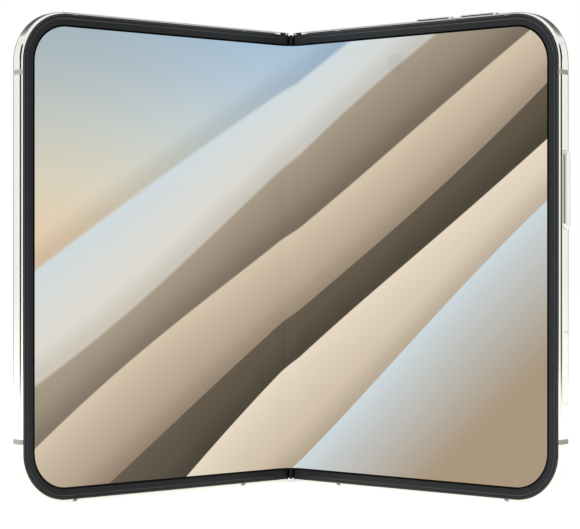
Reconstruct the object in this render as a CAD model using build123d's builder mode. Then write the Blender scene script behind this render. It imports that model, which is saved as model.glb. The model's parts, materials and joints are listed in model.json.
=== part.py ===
"""Foldable smartphone, half open like a book, standing on its bottom edges.

Two leaves swing on two parallel pins in a narrow spine. Geared hinge modules keep the leaves in step,
and one bendable display runs across both. Millimetres; +Z up, X to the right, the display faces -Y.
The origin is on the standing surface, in the middle of the footprint at the modelled fold angle.

Places on a leaf are given as s, z and n: s runs outward from the fold line along the leaf, z runs up
from mid-height, and n runs forward from the display surface, so every piece of a leaf has n below 0.
"""
from build123d import *
from math import asin, cos, degrees, radians, sin, tan
import os

# ---------------------------------------------------------------- the whole phone
LEAF_WIDTH = 83.8            # fold line to outer wall, half of the open width
PHONE_HEIGHT = 120.6
LEAF_THICKNESS = 4.8         # display surface to back face
CORNER_RADIUS = 12.7
FOLD_ANGLE = 38.0            # each leaf is turned this far forward from flat
GLUE_GAP = 0.05              # side clearance of a piece in its pocket
PART_GAP = 0.1               # clearance between neighbouring inner pieces

# ---------------------------------------------------------------- metal frame of a leaf
WALL = 1.6                   # outer wall, at its inner ledge
RIM = 0.65                   # bright rim in front, beside the bezel
FRONT_LEVEL = -0.05          # front of the rim
BACK_WALL = 0.6              # back rail, and both back glasses
RAIL_START = 0.3             # back rail, from beside the fold line
RAIL_END = 4.6
BACK_RIM = 1.1               # metal left around the back glass
FRONT_CHAMFER = 0.5
EDGE_ROUND = 0.7             # between the chamfer and the outer walls
BACK_FILLET = 1.3

# ---------------------------------------------------------------- display, bezel and midplate
DISPLAY_INSET = 3.4          # outer wall to the lit display
DISPLAY_THICKNESS = 0.6
FOLD_REACH = 7.0             # stretch of display beside the fold line that bends
FOLD_THICKNESS = 0.5
FOLD_RADIUS = 5.0            # bend of the display at the modelled fold angle
BEZEL_LIP = 0.2              # outer band of the bezel, above the display
BEZEL_STEP = 0.06            # inner band of the bezel, above the display
LIP_WIDTH = 1.0
SEAM = 6.55                  # end of the bezel, start of the hinge cap
CAP_DIP = 0.35               # front of the hinge cap, below the display
CAP_THICKNESS = 0.25
CAP_REACH = 1.1              # rounded end of the hinge cap, past the pin
MIDPLATE_THICKNESS = 0.6
CLOSED_GAP = 0.1             # between the two lips when shut

# ---------------------------------------------------------------- hinge
END_DIP = 0.4                # front of the frame beside the fold, below the display
DIP_LENGTH = 2.1             # the frame slopes down to it over this length
SPINE_CLEARANCE = 0.15
SPINE_WALL = 0.35
SPINE_SHORT = 3.5            # spine cover ends this far inside the frame's ends
WEB_CLEARANCE = 0.15
WEB_SHORT = 0.7              # spine's end web, below the frame's end
WEB_DIP = 0.8                # front of the web, below the flat display
PLUG_LENGTH = 1.3            # end cap's foot inside the spine cover
MODULE_START = 27.0          # hinge module, from mid-height
PLATE_THICKNESS = 2.0
RUN_GAP = 0.2                # end play between the pieces of a module
GEAR_FACE = 2.8
ARM_THICKNESS = 2.0
CAM_THICKNESS = 1.8
SPRING_LENGTH = 7.0
SPRING_RIDGES = 9
SPRING_NECK = 0.25           # depth of the grooves of the spring stack
PIN_RADIUS = 0.3
IDLER_PIN_RADIUS = 0.25
PIN_FIT = 0.03               # radial clearance on a pin
TEETH = 12
ADDENDUM = 0.118
DEDENDUM = 0.147
TOOTH_AT_ROOT = 0.23
TOOTH_AT_TIP = 0.09
HUB_RADIUS = 0.75
ARM_DROP = 0.35              # underside of the arm, below the pin
ARM_PLATE_REACH = 8.4        # from the rail's end outward
ARM_PLATE_WIDTH = 10.0
ARM_PLATE_THICKNESS = 0.8
SCREW_RADIUS = 0.4
SCREW_FIT = 0.05
SCREW_HEAD_RADIUS = 0.9
SCREW_HEAD_HEIGHT = 0.4
SCREW_SPACING = 6.0

# ---------------------------------------------------------------- bands, buttons and openings in the walls
BAND_WIDTH = 1.2             # plastic antenna bands
BAND_DEPTH = 0.8
SIDE_BAND_END = 15.5         # bands in the outer walls, from the top and bottom edges
NEAR_BAND_S = 16.9
FAR_BAND_SIDE = 15.3         # far bands of the top and bottom walls, from the outer wall
BUTTON_WIDTH = 2.6
VOLUME_WIDTH = 2.3
BUTTON_GAP = 0.08            # around a button, in its slot
BUTTON_TRAVEL = 0.25
SHUTTER_TRAVEL = 0.2
POWER_TOP = 43.95            # middle of the button, below the top edge
POWER_LENGTH = 19.1
POWER_PROUD = 0.75
SHUTTER_BOTTOM = 33.4        # middle of the button, above the bottom edge
SHUTTER_LENGTH = 17.8
SHUTTER_SUNK = 0.02
VOLUME_UP_SIDE = 24.5        # middle of the button, from the outer wall
VOLUME_DOWN_SIDE = 37.75
VOLUME_LENGTH = 11.0
VOLUME_PROUD = 0.58
BUTTON_ROUND = 0.3
FLANGE_THICKNESS = 0.35
FLANGE_EAR = 0.7             # flange past each end of the button
FLANGE_WIDTH = 2.0
SWITCH_LENGTH = 3.2
SWITCH_DEPTH = 1.2
SWITCH_HEIGHT = 2.0
PORT_LENGTH = 8.94
PORT_WIDTH = 3.16
PORT_WALL = 0.28
PORT_DEPTH = 7.2
TONGUE_LENGTH = 6.6
TONGUE_THICKNESS = 0.7
TONGUE_SHORT = 1.2           # tongue ends this far inside the port's mouth
SOUND_HOLE_RADIUS = 0.55
SOUND_HOLE_PITCH = 2.1
SOUND_HOLES = 6
EARPIECE_SLOT = 10.0
EARPIECE_SLOT_WIDTH = 0.7

# ---------------------------------------------------------------- inner pieces and back
PORT_ZONE = 9.0              # kept for port, speaker and motor, above the bottom wall
BATTERY_START = 15.0
BATTERY_MARGIN = 4.5         # battery to the outer wall
SUB_BOARD_ROOM = 32.4        # kept above the left battery
MAIN_BOARD_ROOM = 50.4       # kept above the right battery
SWELLING_GAP = 0.25          # behind the left battery
COIL_GAP = 0.13              # behind the charging coil
INNER_GAP = 0.4              # behind speaker, motor and earpiece
BOARD_ROUND = 1.5
BATTERY_ROUND = 2.0
BOARD_GAP = 1.5
BOARD_THICKNESS = 0.7
BOARD_MARGIN = 3.2           # board to the wall, past the switches
SHIELD_HEIGHT = 1.2
SHIELD_MARGIN = 2.0
SHIELD_GAP = 2.5
INNER_ROUND = 1.0            # corners of shields, speaker, motor, earpiece and arm plates
COIL_OUTER = 20.0
COIL_INNER = 9.0
COIL_THICKNESS = 0.12
SPEAKER_PORT_GAP = 2.5       # speaker to the port
MOTOR_LENGTH = 16.0
MOTOR_S = 24.0
MOTOR_MARGIN = 2.0           # above and below the motor
EARPIECE_LENGTH = 12.0
EARPIECE_HEIGHT = 2.4
MAGNET_WIDTH = 1.6
MAGNET_LENGTH = 8.0
MAGNET_THICKNESS = 1.8
MAGNET_CORNER_GAP = 1.1      # end magnets, to the start of the round corner
COVER_PANEL_THICKNESS = 0.55
COVER_PANEL_MARGIN = 2.2
COVER_CAMERA_TOP = 8.3       # below the phone's top edge
COVER_CAMERA_RADIUS = 2.1
INNER_CAMERA_S = 35.3
INNER_CAMERA_TOP = 10.5
INNER_CAMERA_RADIUS = 2.55
INNER_CAMERA_DEPTH = 2.4
PLATEAU_WIDTH = 23.0
PLATEAU_HEIGHT = 42.0
PLATEAU_THICKNESS = 1.7
PLATEAU_ROUND = 9.0
PLATEAU_EDGE = 0.7
PLATEAU_SIDE = 6.3           # plateau to the outer wall
PLATEAU_TOP = 6.3            # plateau to the top edge
LENS_SPACING = 18.5
BORE_RADIUS = 5.6
RING_OUTER = 7.2
RING_HEIGHT = 0.8
RING_EDGE = 0.3
LENS_THICKNESS = 0.6
MODULE_FIT = 0.15
FLASH_RADIUS = 1.7
FLASH_THICKNESS = 0.5
CABLE_WIDTH = 12.0
CABLE_THICKNESS = 0.15
CABLE_DROP = 0.2             # cable, behind the display
CABLE_TAIL = 3.5             # flat stretch on each leaf
CABLE_WINDOW = 0.5           # room around the cable in the midplate

# ---------------------------------------------------------------- worked out from the sizes above
MID_Z = PHONE_HEIGHT / 2
INNER_HALF = MID_Z - WALL
BACK = -LEAF_THICKNESS
INNER_BACK = BACK + BACK_WALL
PIN_DEPTH = LEAF_THICKNESS / 2
PIN_S = PIN_DEPTH + BEZEL_LIP + CLOSED_GAP / 2
ANGLE = radians(FOLD_ANGLE)
MIDPLATE_FRONT = -DISPLAY_THICKNESS
MIDPLATE_BACK = MIDPLATE_FRONT - MIDPLATE_THICKNESS
END_RADIUS = PIN_DEPTH - END_DIP
CAP_RADIUS = PIN_DEPTH - CAP_DIP
SPINE_RADIUS = PIN_DEPTH - BACK_WALL - SPINE_CLEARANCE
SPINE_INNER = SPINE_RADIUS - SPINE_WALL
BRACKET_RADIUS = SPINE_INNER - GLUE_GAP
SPINE_HALF = MID_Z - SPINE_SHORT
WEB_HALF = PIN_S - CAP_RADIUS - WEB_CLEARANCE
ARM_OPENING = SPINE_RADIUS / 3  # front of the spine cover, behind the pins
GEAR_SPACING = 2 * PIN_S / 3
PITCH_RADIUS = GEAR_SPACING / 2
TIP_RADIUS = PITCH_RADIUS + ADDENDUM
ROOT_RADIUS = PITCH_RADIUS - DEDENDUM

# Middles of buttons, bands and openings.
SIDE_BAND_Z = MID_Z - SIDE_BAND_END
FAR_BAND_S = LEAF_WIDTH - FAR_BAND_SIDE
POWER_Z = MID_Z - POWER_TOP
SHUTTER_Z = SHUTTER_BOTTOM - MID_Z
VOLUME_UP_S = LEAF_WIDTH - VOLUME_UP_SIDE
VOLUME_DOWN_S = LEAF_WIDTH - VOLUME_DOWN_SIDE
MIDDLE_S = LEAF_WIDTH / 2
SPEAKER_S = (MIDDLE_S + PORT_LENGTH / 2 + SPEAKER_PORT_GAP, LEAF_WIDTH - CORNER_RADIUS - PART_GAP)

# The footprint's depth, from the leaves' outer front edges to the frame's heels behind the spine.
FOOT_FRONT = -PIN_DEPTH + (LEAF_WIDTH - PIN_S) * sin(ANGLE) + (PIN_DEPTH + FRONT_LEVEL) * cos(ANGLE)
FOOT_BACK = -PIN_DEPTH - (PIN_S - RAIL_START) * sin(ANGLE) - PIN_DEPTH * cos(ANGLE)
FOOT_MIDDLE = (FOOT_FRONT + FOOT_BACK) / 2
PIN_Y = FOOT_MIDDLE + PIN_DEPTH


class Leaf:
    """One half of the phone, with the planes that its pieces are drawn on."""

    def __init__(self, side):
        """side is 1 for the right leaf and -1 for the left one."""
        self.side = side
        self.out = Vector(side * cos(ANGLE), -sin(ANGLE), 0)
        self.front = Vector(-side * sin(ANGLE), -cos(ANGLE), 0)
        pin = Vector(side * PIN_S, PIN_Y, MID_Z)
        self.origin = pin - self.out * PIN_S + self.front * PIN_DEPTH

    def level(self, n):
        """Plane parallel to the display; its x is side times s, its y is z."""
        return Plane(self.origin + self.front * n, x_dir=self.out * self.side, z_dir=self.front)

    def profile(self, low, high):
        """Plane across the leaf, x is s and y is n; extruded by high - low it fills low to high."""
        start = high if self.side > 0 else low
        return Plane(self.origin + Vector(0, 0, start), x_dir=self.out, z_dir=(0, 0, -self.side))

    def spot(self, s, z):
        """A place on a level plane."""
        return (self.side * s, z)

    def side_wall(self, z, n=-PIN_DEPTH):
        """Plane on the outer wall, facing out, x up."""
        at = self.origin + self.out * LEAF_WIDTH + self.front * n + Vector(0, 0, z)
        return Plane(at, x_dir=(0, 0, 1), z_dir=self.out)

    def end_wall(self, s, up, n=-PIN_DEPTH):
        """Plane on the top wall, for up 1, or on the bottom wall, for up -1, facing away from the phone."""
        at = self.origin + self.out * s + self.front * n + Vector(0, 0, up * MID_Z)
        return Plane(at, x_dir=self.out, z_dir=(0, 0, up))


LEFT = Leaf(-1)
RIGHT = Leaf(1)
os.makedirs("parts", exist_ok=True)


def save(part, name):
    """Labels a finished piece and writes its file."""
    part.label = name
    export_step(part, f"parts/{name}.step")


def outline(leaf, n, start, inset):
    """Sketch of the leaf's outline at level n, from s = start, drawn in by inset, outer corners round."""
    with BuildSketch(leaf.level(n)) as shape:
        with Locations((leaf.side * (start + LEAF_WIDTH - inset) / 2, 0)):
            Rectangle(LEAF_WIDTH - inset - start, PHONE_HEIGHT - 2 * inset)
        corners = shape.vertices().group_by(Axis.X)[-1 if leaf.side > 0 else 0]
        fillet(corners, CORNER_RADIUS - inset)
    return shape.sketch


def slab(leaf, s_range, z_range, n_range, rounding=0.0):
    """A flat block on the leaf, its corners round where rounding is given."""
    width = s_range[1] - s_range[0]
    height = z_range[1] - z_range[0]
    with BuildPart() as block:
        with BuildSketch(leaf.level(n_range[0])):
            with Locations(leaf.spot(sum(s_range) / 2, sum(z_range) / 2)):
                if rounding:
                    RectangleRounded(width, height, rounding)
                else:
                    Rectangle(width, height)
        extrude(amount=n_range[1] - n_range[0])
    return block.part


def disc(leaf, s, z, radius, n_range, bore=0.0):
    """A round plate on the leaf, or a ring where bore is given."""
    with BuildPart() as plate:
        with BuildSketch(leaf.level(n_range[0])):
            with Locations(leaf.spot(s, z)):
                Circle(radius)
                if bore:
                    Circle(bore, mode=Mode.SUBTRACT)
        extrude(amount=n_range[1] - n_range[0])
    return plate.part


def wall_slot(wall, length, width, depth):
    """A slot with round ends, from outside the wall to depth inside it."""
    with BuildPart() as slot:
        with BuildSketch(wall.offset(-depth)):
            SlotOverall(length, width)
        extrude(amount=depth + WALL)
    return slot.part


def wall_holes(wall, radius, pitch, count):
    """A row of round sound holes through a wall."""
    with BuildPart() as holes:
        with BuildSketch(wall.offset(-2 * WALL)):
            with GridLocations(pitch, pitch, count, 1):
                Circle(radius)
        extrude(amount=3 * WALL)
    return holes.part


# ---------------------------------------------------------------- walls: places of buttons and openings
POWER_WALL = RIGHT.side_wall(POWER_Z)
SHUTTER_WALL = RIGHT.side_wall(SHUTTER_Z)
VOLUME_UP_WALL = RIGHT.end_wall(VOLUME_UP_S, 1)
VOLUME_DOWN_WALL = RIGHT.end_wall(VOLUME_DOWN_S, 1)
PORT_WALL_PLANE = RIGHT.end_wall(MIDDLE_S, -1)
RIGHT_SOUND_WALL = RIGHT.end_wall(sum(SPEAKER_S) / 2, -1)
LEFT_SOUND_WALL = LEFT.end_wall(MIDDLE_S, -1)
EARPIECE_WALL = LEFT.end_wall(MIDDLE_S, 1)
BUTTONS = {
    # name: wall, length, width, height above the wall, travel
    "power_button": (POWER_WALL, POWER_LENGTH, BUTTON_WIDTH, POWER_PROUD, BUTTON_TRAVEL),
    "shutter_button": (SHUTTER_WALL, SHUTTER_LENGTH, BUTTON_WIDTH, -SHUTTER_SUNK, SHUTTER_TRAVEL),
    "volume_up_button": (VOLUME_UP_WALL, VOLUME_LENGTH, VOLUME_WIDTH, VOLUME_PROUD, BUTTON_TRAVEL),
    "volume_down_button": (VOLUME_DOWN_WALL, VOLUME_LENGTH, VOLUME_WIDTH, VOLUME_PROUD, BUTTON_TRAVEL),
}


# ---------------------------------------------------------------- frame and antenna bands
CAP_NEAR = MID_Z - DISPLAY_INSET + PART_GAP
CAP_FAR = MID_Z - RIM - GLUE_GAP


def cap_strip(leaf, z_range, inner_radius, outer_radius, reach):
    """The space of a hinge cap: flat from the seam to the pin, then round about it for a reach past it."""
    pin = (PIN_S, -PIN_DEPTH)
    outer_turn = degrees(asin(reach / outer_radius))
    inner_turn = degrees(asin(reach / inner_radius))
    seam = SEAM - GLUE_GAP
    with BuildPart() as strip:
        with BuildSketch(leaf.profile(*z_range)):
            with BuildLine():
                front = Line((seam, outer_radius - PIN_DEPTH), (PIN_S, outer_radius - PIN_DEPTH))
                nose = CenterArc(pin, outer_radius, 90, outer_turn)
                back = CenterArc(pin, inner_radius, 90 + inner_turn, -inner_turn)
                Line(nose @ 1, back @ 0)
                Polyline(back @ 1, (seam, inner_radius - PIN_DEPTH), front @ 0)
            make_face()
        extrude(amount=z_range[1] - z_range[0])
    return strip.part


def whole_frame(leaf):
    """The leaf's metal frame before its antenna bands and openings are cut."""
    thick = Axis(leaf.origin, leaf.front)
    with BuildPart() as frame:
        extrude(outline(leaf, BACK, RAIL_START, 0), amount=FRONT_LEVEL - BACK)
        # The walls are round towards the back; the edge beside the fold line stays square.
        fillet(frame.edges().group_by(thick)[0].sort_by(Axis(leaf.origin, leaf.out))[1:], BACK_FILLET)
        chamfer(frame.edges().group_by(thick)[-1], FRONT_CHAMFER)
        level = FRONT_LEVEL - FRONT_CHAMFER
        chamfer_foot = frame.edges().filter_by_position(thick, level - GLUE_GAP, level + GLUE_GAP)
        fillet(chamfer_foot.sort_by(Axis(leaf.origin, leaf.out))[1:], EDGE_ROUND)
        # The cavity, the ledge for display and bezel, and the opening for the back glass.
        extrude(outline(leaf, INNER_BACK, -WALL, WALL), amount=LEAF_THICKNESS, mode=Mode.SUBTRACT)
        extrude(outline(leaf, MIDPLATE_FRONT, -WALL, RIM), amount=LEAF_THICKNESS, mode=Mode.SUBTRACT)
        extrude(outline(leaf, BACK - WALL, RAIL_END, BACK_RIM), amount=WALL + BACK_WALL, mode=Mode.SUBTRACT)
        # The ends beside the fold dip below the display and are round about the pin.
        reach = degrees(asin((PIN_DEPTH - BACK_WALL) / END_RADIUS))
        with BuildSketch(leaf.profile(-MID_Z, MID_Z)):
            with BuildLine():
                low_front = (PIN_S, -END_DIP)
                slope = Polyline((SEAM, LEAF_THICKNESS), (SEAM, FRONT_LEVEL),
                                 (SEAM - DIP_LENGTH, -END_DIP), low_front)
                nose = CenterArc((PIN_S, -PIN_DEPTH), END_RADIUS, 90, 90 + reach)
                Polyline(nose @ 1, (-LEAF_THICKNESS, INNER_BACK), (-LEAF_THICKNESS, LEAF_THICKNESS),
                         slope @ 0)
            make_face()
        extrude(amount=PHONE_HEIGHT, mode=Mode.SUBTRACT)
        # Room for the hinge caps in the ends of the frame.
        for near, far in ((CAP_NEAR, CAP_FAR + GLUE_GAP), (-CAP_FAR - GLUE_GAP, -CAP_NEAR)):
            add(cap_strip(leaf, (near, far), CAP_RADIUS - CAP_THICKNESS - GLUE_GAP, PIN_DEPTH,
                          CAP_REACH + GLUE_GAP), mode=Mode.SUBTRACT)
    return frame.part


def band_blocks(leaf):
    """Blocks around the places where plastic bands cross the outer skin of the frame."""
    with BuildPart() as blocks:
        for z in (-SIDE_BAND_Z, SIDE_BAND_Z):
            with BuildSketch(leaf.side_wall(z).offset(-BAND_DEPTH)):
                Rectangle(BAND_WIDTH, 2 * LEAF_THICKNESS)
            extrude(amount=WALL)
        for up in (-1, 1):
            for s in (NEAR_BAND_S, FAR_BAND_S):
                with BuildSketch(leaf.end_wall(s, up).offset(-BAND_DEPTH)):
                    Rectangle(BAND_WIDTH, 2 * LEAF_THICKNESS)
                extrude(amount=WALL)
    return blocks.part


def frame_and_bands(leaf, name, cuts):
    """Writes the leaf's frame, with its openings cut, and the antenna bands let into it."""
    blocks = band_blocks(leaf)
    with BuildPart() as frame:
        add(whole_frame(leaf))
        for cut in cuts:
            add(cut, mode=Mode.SUBTRACT)
        add(blocks, mode=Mode.SUBTRACT)
    save(frame.part, f"{name}_frame")
    with BuildPart() as bands:
        add(whole_frame(leaf))
        add(blocks, mode=Mode.INTERSECT)
    save(bands.part, f"{name}_antenna_bands")


right_cuts = [
    wall_slot(wall, length + 2 * BUTTON_GAP, width + 2 * BUTTON_GAP, 2 * WALL)
    for wall, length, width, proud, travel in BUTTONS.values()
]
right_cuts.append(wall_slot(PORT_WALL_PLANE, PORT_LENGTH + 2 * GLUE_GAP, PORT_WIDTH + 2 * GLUE_GAP, 2 * WALL))
right_cuts.append(wall_holes(RIGHT_SOUND_WALL, SOUND_HOLE_RADIUS, SOUND_HOLE_PITCH, SOUND_HOLES))
left_cuts = [
    wall_slot(EARPIECE_WALL, EARPIECE_SLOT, EARPIECE_SLOT_WIDTH, 2 * WALL),
    wall_holes(LEFT_SOUND_WALL, SOUND_HOLE_RADIUS, SOUND_HOLE_PITCH, SOUND_HOLES),
]
frame_and_bands(LEFT, "left", left_cuts)
frame_and_bands(RIGHT, "right", right_cuts)


# ---------------------------------------------------------------- display, bezel and hinge caps
def rigid_display(leaf, name):
    """The flat stretch of the display, bonded to the midplate."""
    with BuildPart() as panel:
        extrude(outline(leaf, MIDPLATE_FRONT, FOLD_REACH, DISPLAY_INSET), amount=DISPLAY_THICKNESS)
    save(panel.part, f"{name}_display")


def bezel(leaf, name):
    """The dark trim around the display, with a low inner band and a raised outer lip."""
    inner = DISPLAY_INSET - GLUE_GAP
    outer = RIM + GLUE_GAP
    with BuildPart() as trim:
        extrude(outline(leaf, MIDPLATE_FRONT, SEAM, outer), amount=DISPLAY_THICKNESS + BEZEL_LIP)
        extrude(outline(leaf, BEZEL_STEP, 0, outer + LIP_WIDTH), amount=BEZEL_LIP, mode=Mode.SUBTRACT)
        extrude(outline(leaf, BACK, 0, inner), amount=2 * LEAF_THICKNESS, mode=Mode.SUBTRACT)
    save(trim.part, f"{name}_bezel")


def hinge_caps(leaf, name):
    """Thin trim over the frame beside the fold, rounded about the pin, at the top and the bottom."""
    with BuildPart() as caps:
        for low, high in ((CAP_NEAR, CAP_FAR), (-CAP_FAR, -CAP_NEAR)):
            add(cap_strip(leaf, (low, high), CAP_RADIUS - CAP_THICKNESS, CAP_RADIUS, CAP_REACH))
    save(caps.part, f"{name}_hinge_caps")


# Where the two display planes would meet, and the bend that rounds this corner off.
CORNER_S = PIN_S - (PIN_S - PIN_DEPTH * sin(ANGLE)) / cos(ANGLE)
CORNER_Y = PIN_Y - PIN_DEPTH / cos(ANGLE) + PIN_S * tan(ANGLE)
FOLD_CENTRE = (0, CORNER_Y - FOLD_RADIUS / cos(ANGLE))
BEND_END = CORNER_S + FOLD_RADIUS * tan(ANGLE)
DISPLAY_HALF = MID_Z - DISPLAY_INSET


def bent_sheet(low, height, n, thickness, end):
    """A sheet behind the display surface by n, round at the fold and flat on each leaf up to s = end."""
    with BuildPart() as sheet:
        with BuildSketch(Plane.XY.offset(low)):
            with BuildLine():
                face = CenterArc(FOLD_CENTRE, FOLD_RADIUS + n, 90 - FOLD_ANGLE, 2 * FOLD_ANGLE)
                rear = CenterArc(FOLD_CENTRE, FOLD_RADIUS + n + thickness, 90 - FOLD_ANGLE, 2 * FOLD_ANGLE)
                Line(face @ 0, rear @ 0)
                Line(face @ 1, rear @ 1)
            make_face()
        extrude(amount=height)
        for leaf in (LEFT, RIGHT):
            add(slab(leaf, (BEND_END, end), (low - MID_Z, low - MID_Z + height), (-n - thickness, -n)))
    return sheet.part


save(bent_sheet(MID_Z - DISPLAY_HALF, 2 * DISPLAY_HALF, 0, FOLD_THICKNESS, FOLD_REACH), "display_fold")
save(bent_sheet(MID_Z - CABLE_WIDTH / 2, CABLE_WIDTH, FOLD_THICKNESS + CABLE_DROP, CABLE_THICKNESS,
                FOLD_REACH + CABLE_TAIL), "fold_cable")

for leaf, name in ((LEFT, "left"), (RIGHT, "right")):
    rigid_display(leaf, name)
    bezel(leaf, name)
    hinge_caps(leaf, name)


# ---------------------------------------------------------------- hinge modules
def reach(sign, near, far):
    """Low and high world heights of a stretch from near to far off mid-height, above it or below it."""
    return sorted((MID_Z + sign * near, MID_Z + sign * far))


PLATE_END = MODULE_START + PLATE_THICKNESS
GEAR_START = PLATE_END + RUN_GAP
GEAR_END = GEAR_START + GEAR_FACE
ARM_END = GEAR_END + ARM_THICKNESS
CAM_START = ARM_END + RUN_GAP
CAM_END = CAM_START + CAM_THICKNESS
SPRING_START = CAM_END + PART_GAP
SPRING_END = SPRING_START + SPRING_LENGTH
OUTER_PLATE_START = SPRING_END + PART_GAP
MODULE_END = OUTER_PLATE_START + PLATE_THICKNESS
PIN_XS = (-PIN_S, PIN_S)
IDLER_XS = (-PITCH_RADIUS, PITCH_RADIUS)


def stadium(z, radius, flat_back):
    """Sketch of the spine's round-ended section at height z; flat_back squares it down onto the cover."""
    with BuildSketch(Plane.XY.offset(z)) as shape:
        with Locations((0, PIN_Y)):
            SlotCenterToCenter(2 * PIN_S, 2 * radius)
        if flat_back:
            with Locations((0, PIN_Y + SPINE_INNER / 2)):
                Rectangle(2 * PIN_S - 2 * GLUE_GAP, SPINE_INNER)
    return shape.sketch


def pin_holes(depth_range, places, radius):
    """Round holes along Z at the given places across the spine."""
    with BuildPart() as holes:
        with BuildSketch(Plane.XY.offset(depth_range[0])):
            with Locations(*[(x, PIN_Y) for x in places]):
                Circle(radius)
        extrude(amount=depth_range[1] - depth_range[0])
    return holes.part


def gear(x, low, half_step):
    """A small spur gear at x; half_step turns it by half a tooth so that it meshes with its neighbour."""
    first = 180 / TEETH if half_step else 0
    with BuildPart() as wheel:
        with BuildSketch(Plane((x, PIN_Y, low))):
            Circle(ROOT_RADIUS)
            with PolarLocations(0, TEETH, start_angle=first):
                Polygon((ROOT_RADIUS - ADDENDUM, -TOOTH_AT_ROOT / 2), (TIP_RADIUS, -TOOTH_AT_TIP / 2),
                        (TIP_RADIUS, TOOTH_AT_TIP / 2), (ROOT_RADIUS - ADDENDUM, TOOTH_AT_ROOT / 2),
                        align=None)
        extrude(amount=GEAR_FACE)
    return wheel.part


with BuildPart() as spine_cover:
    extrude(stadium(MID_Z - SPINE_HALF, SPINE_RADIUS, False), amount=2 * SPINE_HALF)
    extrude(stadium(MID_Z - SPINE_HALF, SPINE_INNER, False), amount=2 * SPINE_HALF, mode=Mode.SUBTRACT)
    # Open in front, so that the arms can swing from flat to shut.
    with BuildSketch(Plane.XY.offset(MID_Z - SPINE_HALF)):
        with Locations((0, PIN_Y + ARM_OPENING - LEAF_THICKNESS)):
            Rectangle(4 * PIN_S, 2 * LEAF_THICKNESS)
    extrude(amount=2 * SPINE_HALF, mode=Mode.SUBTRACT)
save(spine_cover.part, "spine_cover")

with BuildPart() as hinge_plates:
    for sign in (-1, 1):
        for near, far in ((MODULE_START, PLATE_END), (OUTER_PLATE_START, MODULE_END)):
            low, high = reach(sign, near, far)
            extrude(stadium(low, BRACKET_RADIUS, True), amount=high - low)
        add(pin_holes(reach(sign, MODULE_START, MODULE_END), PIN_XS, PIN_RADIUS + PIN_FIT),
            mode=Mode.SUBTRACT)
        add(pin_holes(reach(sign, MODULE_START, PLATE_END), IDLER_XS, IDLER_PIN_RADIUS + PIN_FIT),
            mode=Mode.SUBTRACT)
save(hinge_plates.part, "hinge_plates")

with BuildPart() as hinge_pins:
    for sign in (-1, 1):
        add(pin_holes(reach(sign, MODULE_START, MODULE_END), PIN_XS, PIN_RADIUS))
        add(pin_holes(reach(sign, MODULE_START, ARM_END), IDLER_XS, IDLER_PIN_RADIUS))
save(hinge_pins.part, "hinge_pins")

with BuildPart() as cam_followers:
    for sign in (-1, 1):
        low, high = reach(sign, CAM_START, CAM_END)
        extrude(stadium(low, BRACKET_RADIUS - GLUE_GAP, False), amount=high - low)
        add(pin_holes((low, high), PIN_XS, PIN_RADIUS + PIN_FIT), mode=Mode.SUBTRACT)
save(cam_followers.part, "cam_followers")

with BuildPart() as hinge_springs:
    ridge = SPRING_LENGTH / SPRING_RIDGES
    bore = PIN_RADIUS + PIN_FIT
    for sign in (-1, 1):
        low, high = reach(sign, SPRING_START, SPRING_END)
        for x in PIN_XS:
            with BuildSketch(Plane((x, PIN_Y, low), x_dir=(1, 0, 0), z_dir=(0, -1, 0))):
                with BuildLine():
                    zigzag = [(bore, 0)]
                    for step in range(SPRING_RIDGES):
                        zigzag.append((BRACKET_RADIUS - SPRING_NECK, step * ridge))
                        zigzag.append((BRACKET_RADIUS, (step + 0.5) * ridge))
                    zigzag += [(BRACKET_RADIUS - SPRING_NECK, SPRING_LENGTH), (bore, SPRING_LENGTH)]
                    Polyline(*zigzag, close=True)
                make_face()
            revolve(axis=Axis((x, PIN_Y, low), (0, 0, 1)))
save(hinge_springs.part, "hinge_springs")

with BuildPart() as hinge_end_caps:
    for sign in (-1, 1):
        low, high = reach(sign, SPINE_HALF - PLUG_LENGTH, SPINE_HALF)
        extrude(stadium(low, BRACKET_RADIUS, True), amount=high - low)
        low, high = reach(sign, SPINE_HALF, MID_Z - WEB_SHORT)
        web_front = PIN_Y - PIN_DEPTH + WEB_DIP
        web_back = PIN_Y + SPINE_RADIUS
        with BuildSketch(Plane.XY.offset(low)):
            with Locations((0, (web_front + web_back) / 2)):
                Rectangle(2 * WEB_HALF, web_back - web_front)
        extrude(amount=high - low)
save(hinge_end_caps.part, "hinge_end_caps")

for place, sign in (("upper", 1), ("lower", -1)):
    for side_name, x in zip(("left", "right"), IDLER_XS):
        low, high = reach(sign, GEAR_START, GEAR_END)
        with BuildPart() as idler:
            add(gear(x, low, half_step=x < 0))
            add(pin_holes((low, high), (x,), IDLER_PIN_RADIUS + PIN_FIT), mode=Mode.SUBTRACT)
        save(idler.part, f"idler_{place}_{side_name}")


# ---------------------------------------------------------------- what joins the leaves to the hinge
ARM_CENTRE = (GEAR_END + ARM_END) / 2
ARM_PLATE_END = RAIL_END + ARM_PLATE_REACH
SCREW_S = (RAIL_END + ARM_PLATE_END) / 2
SCREW_ZS = [sign * ARM_CENTRE + step for sign in (-1, 1) for step in (-SCREW_SPACING / 2, SCREW_SPACING / 2)]


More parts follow.
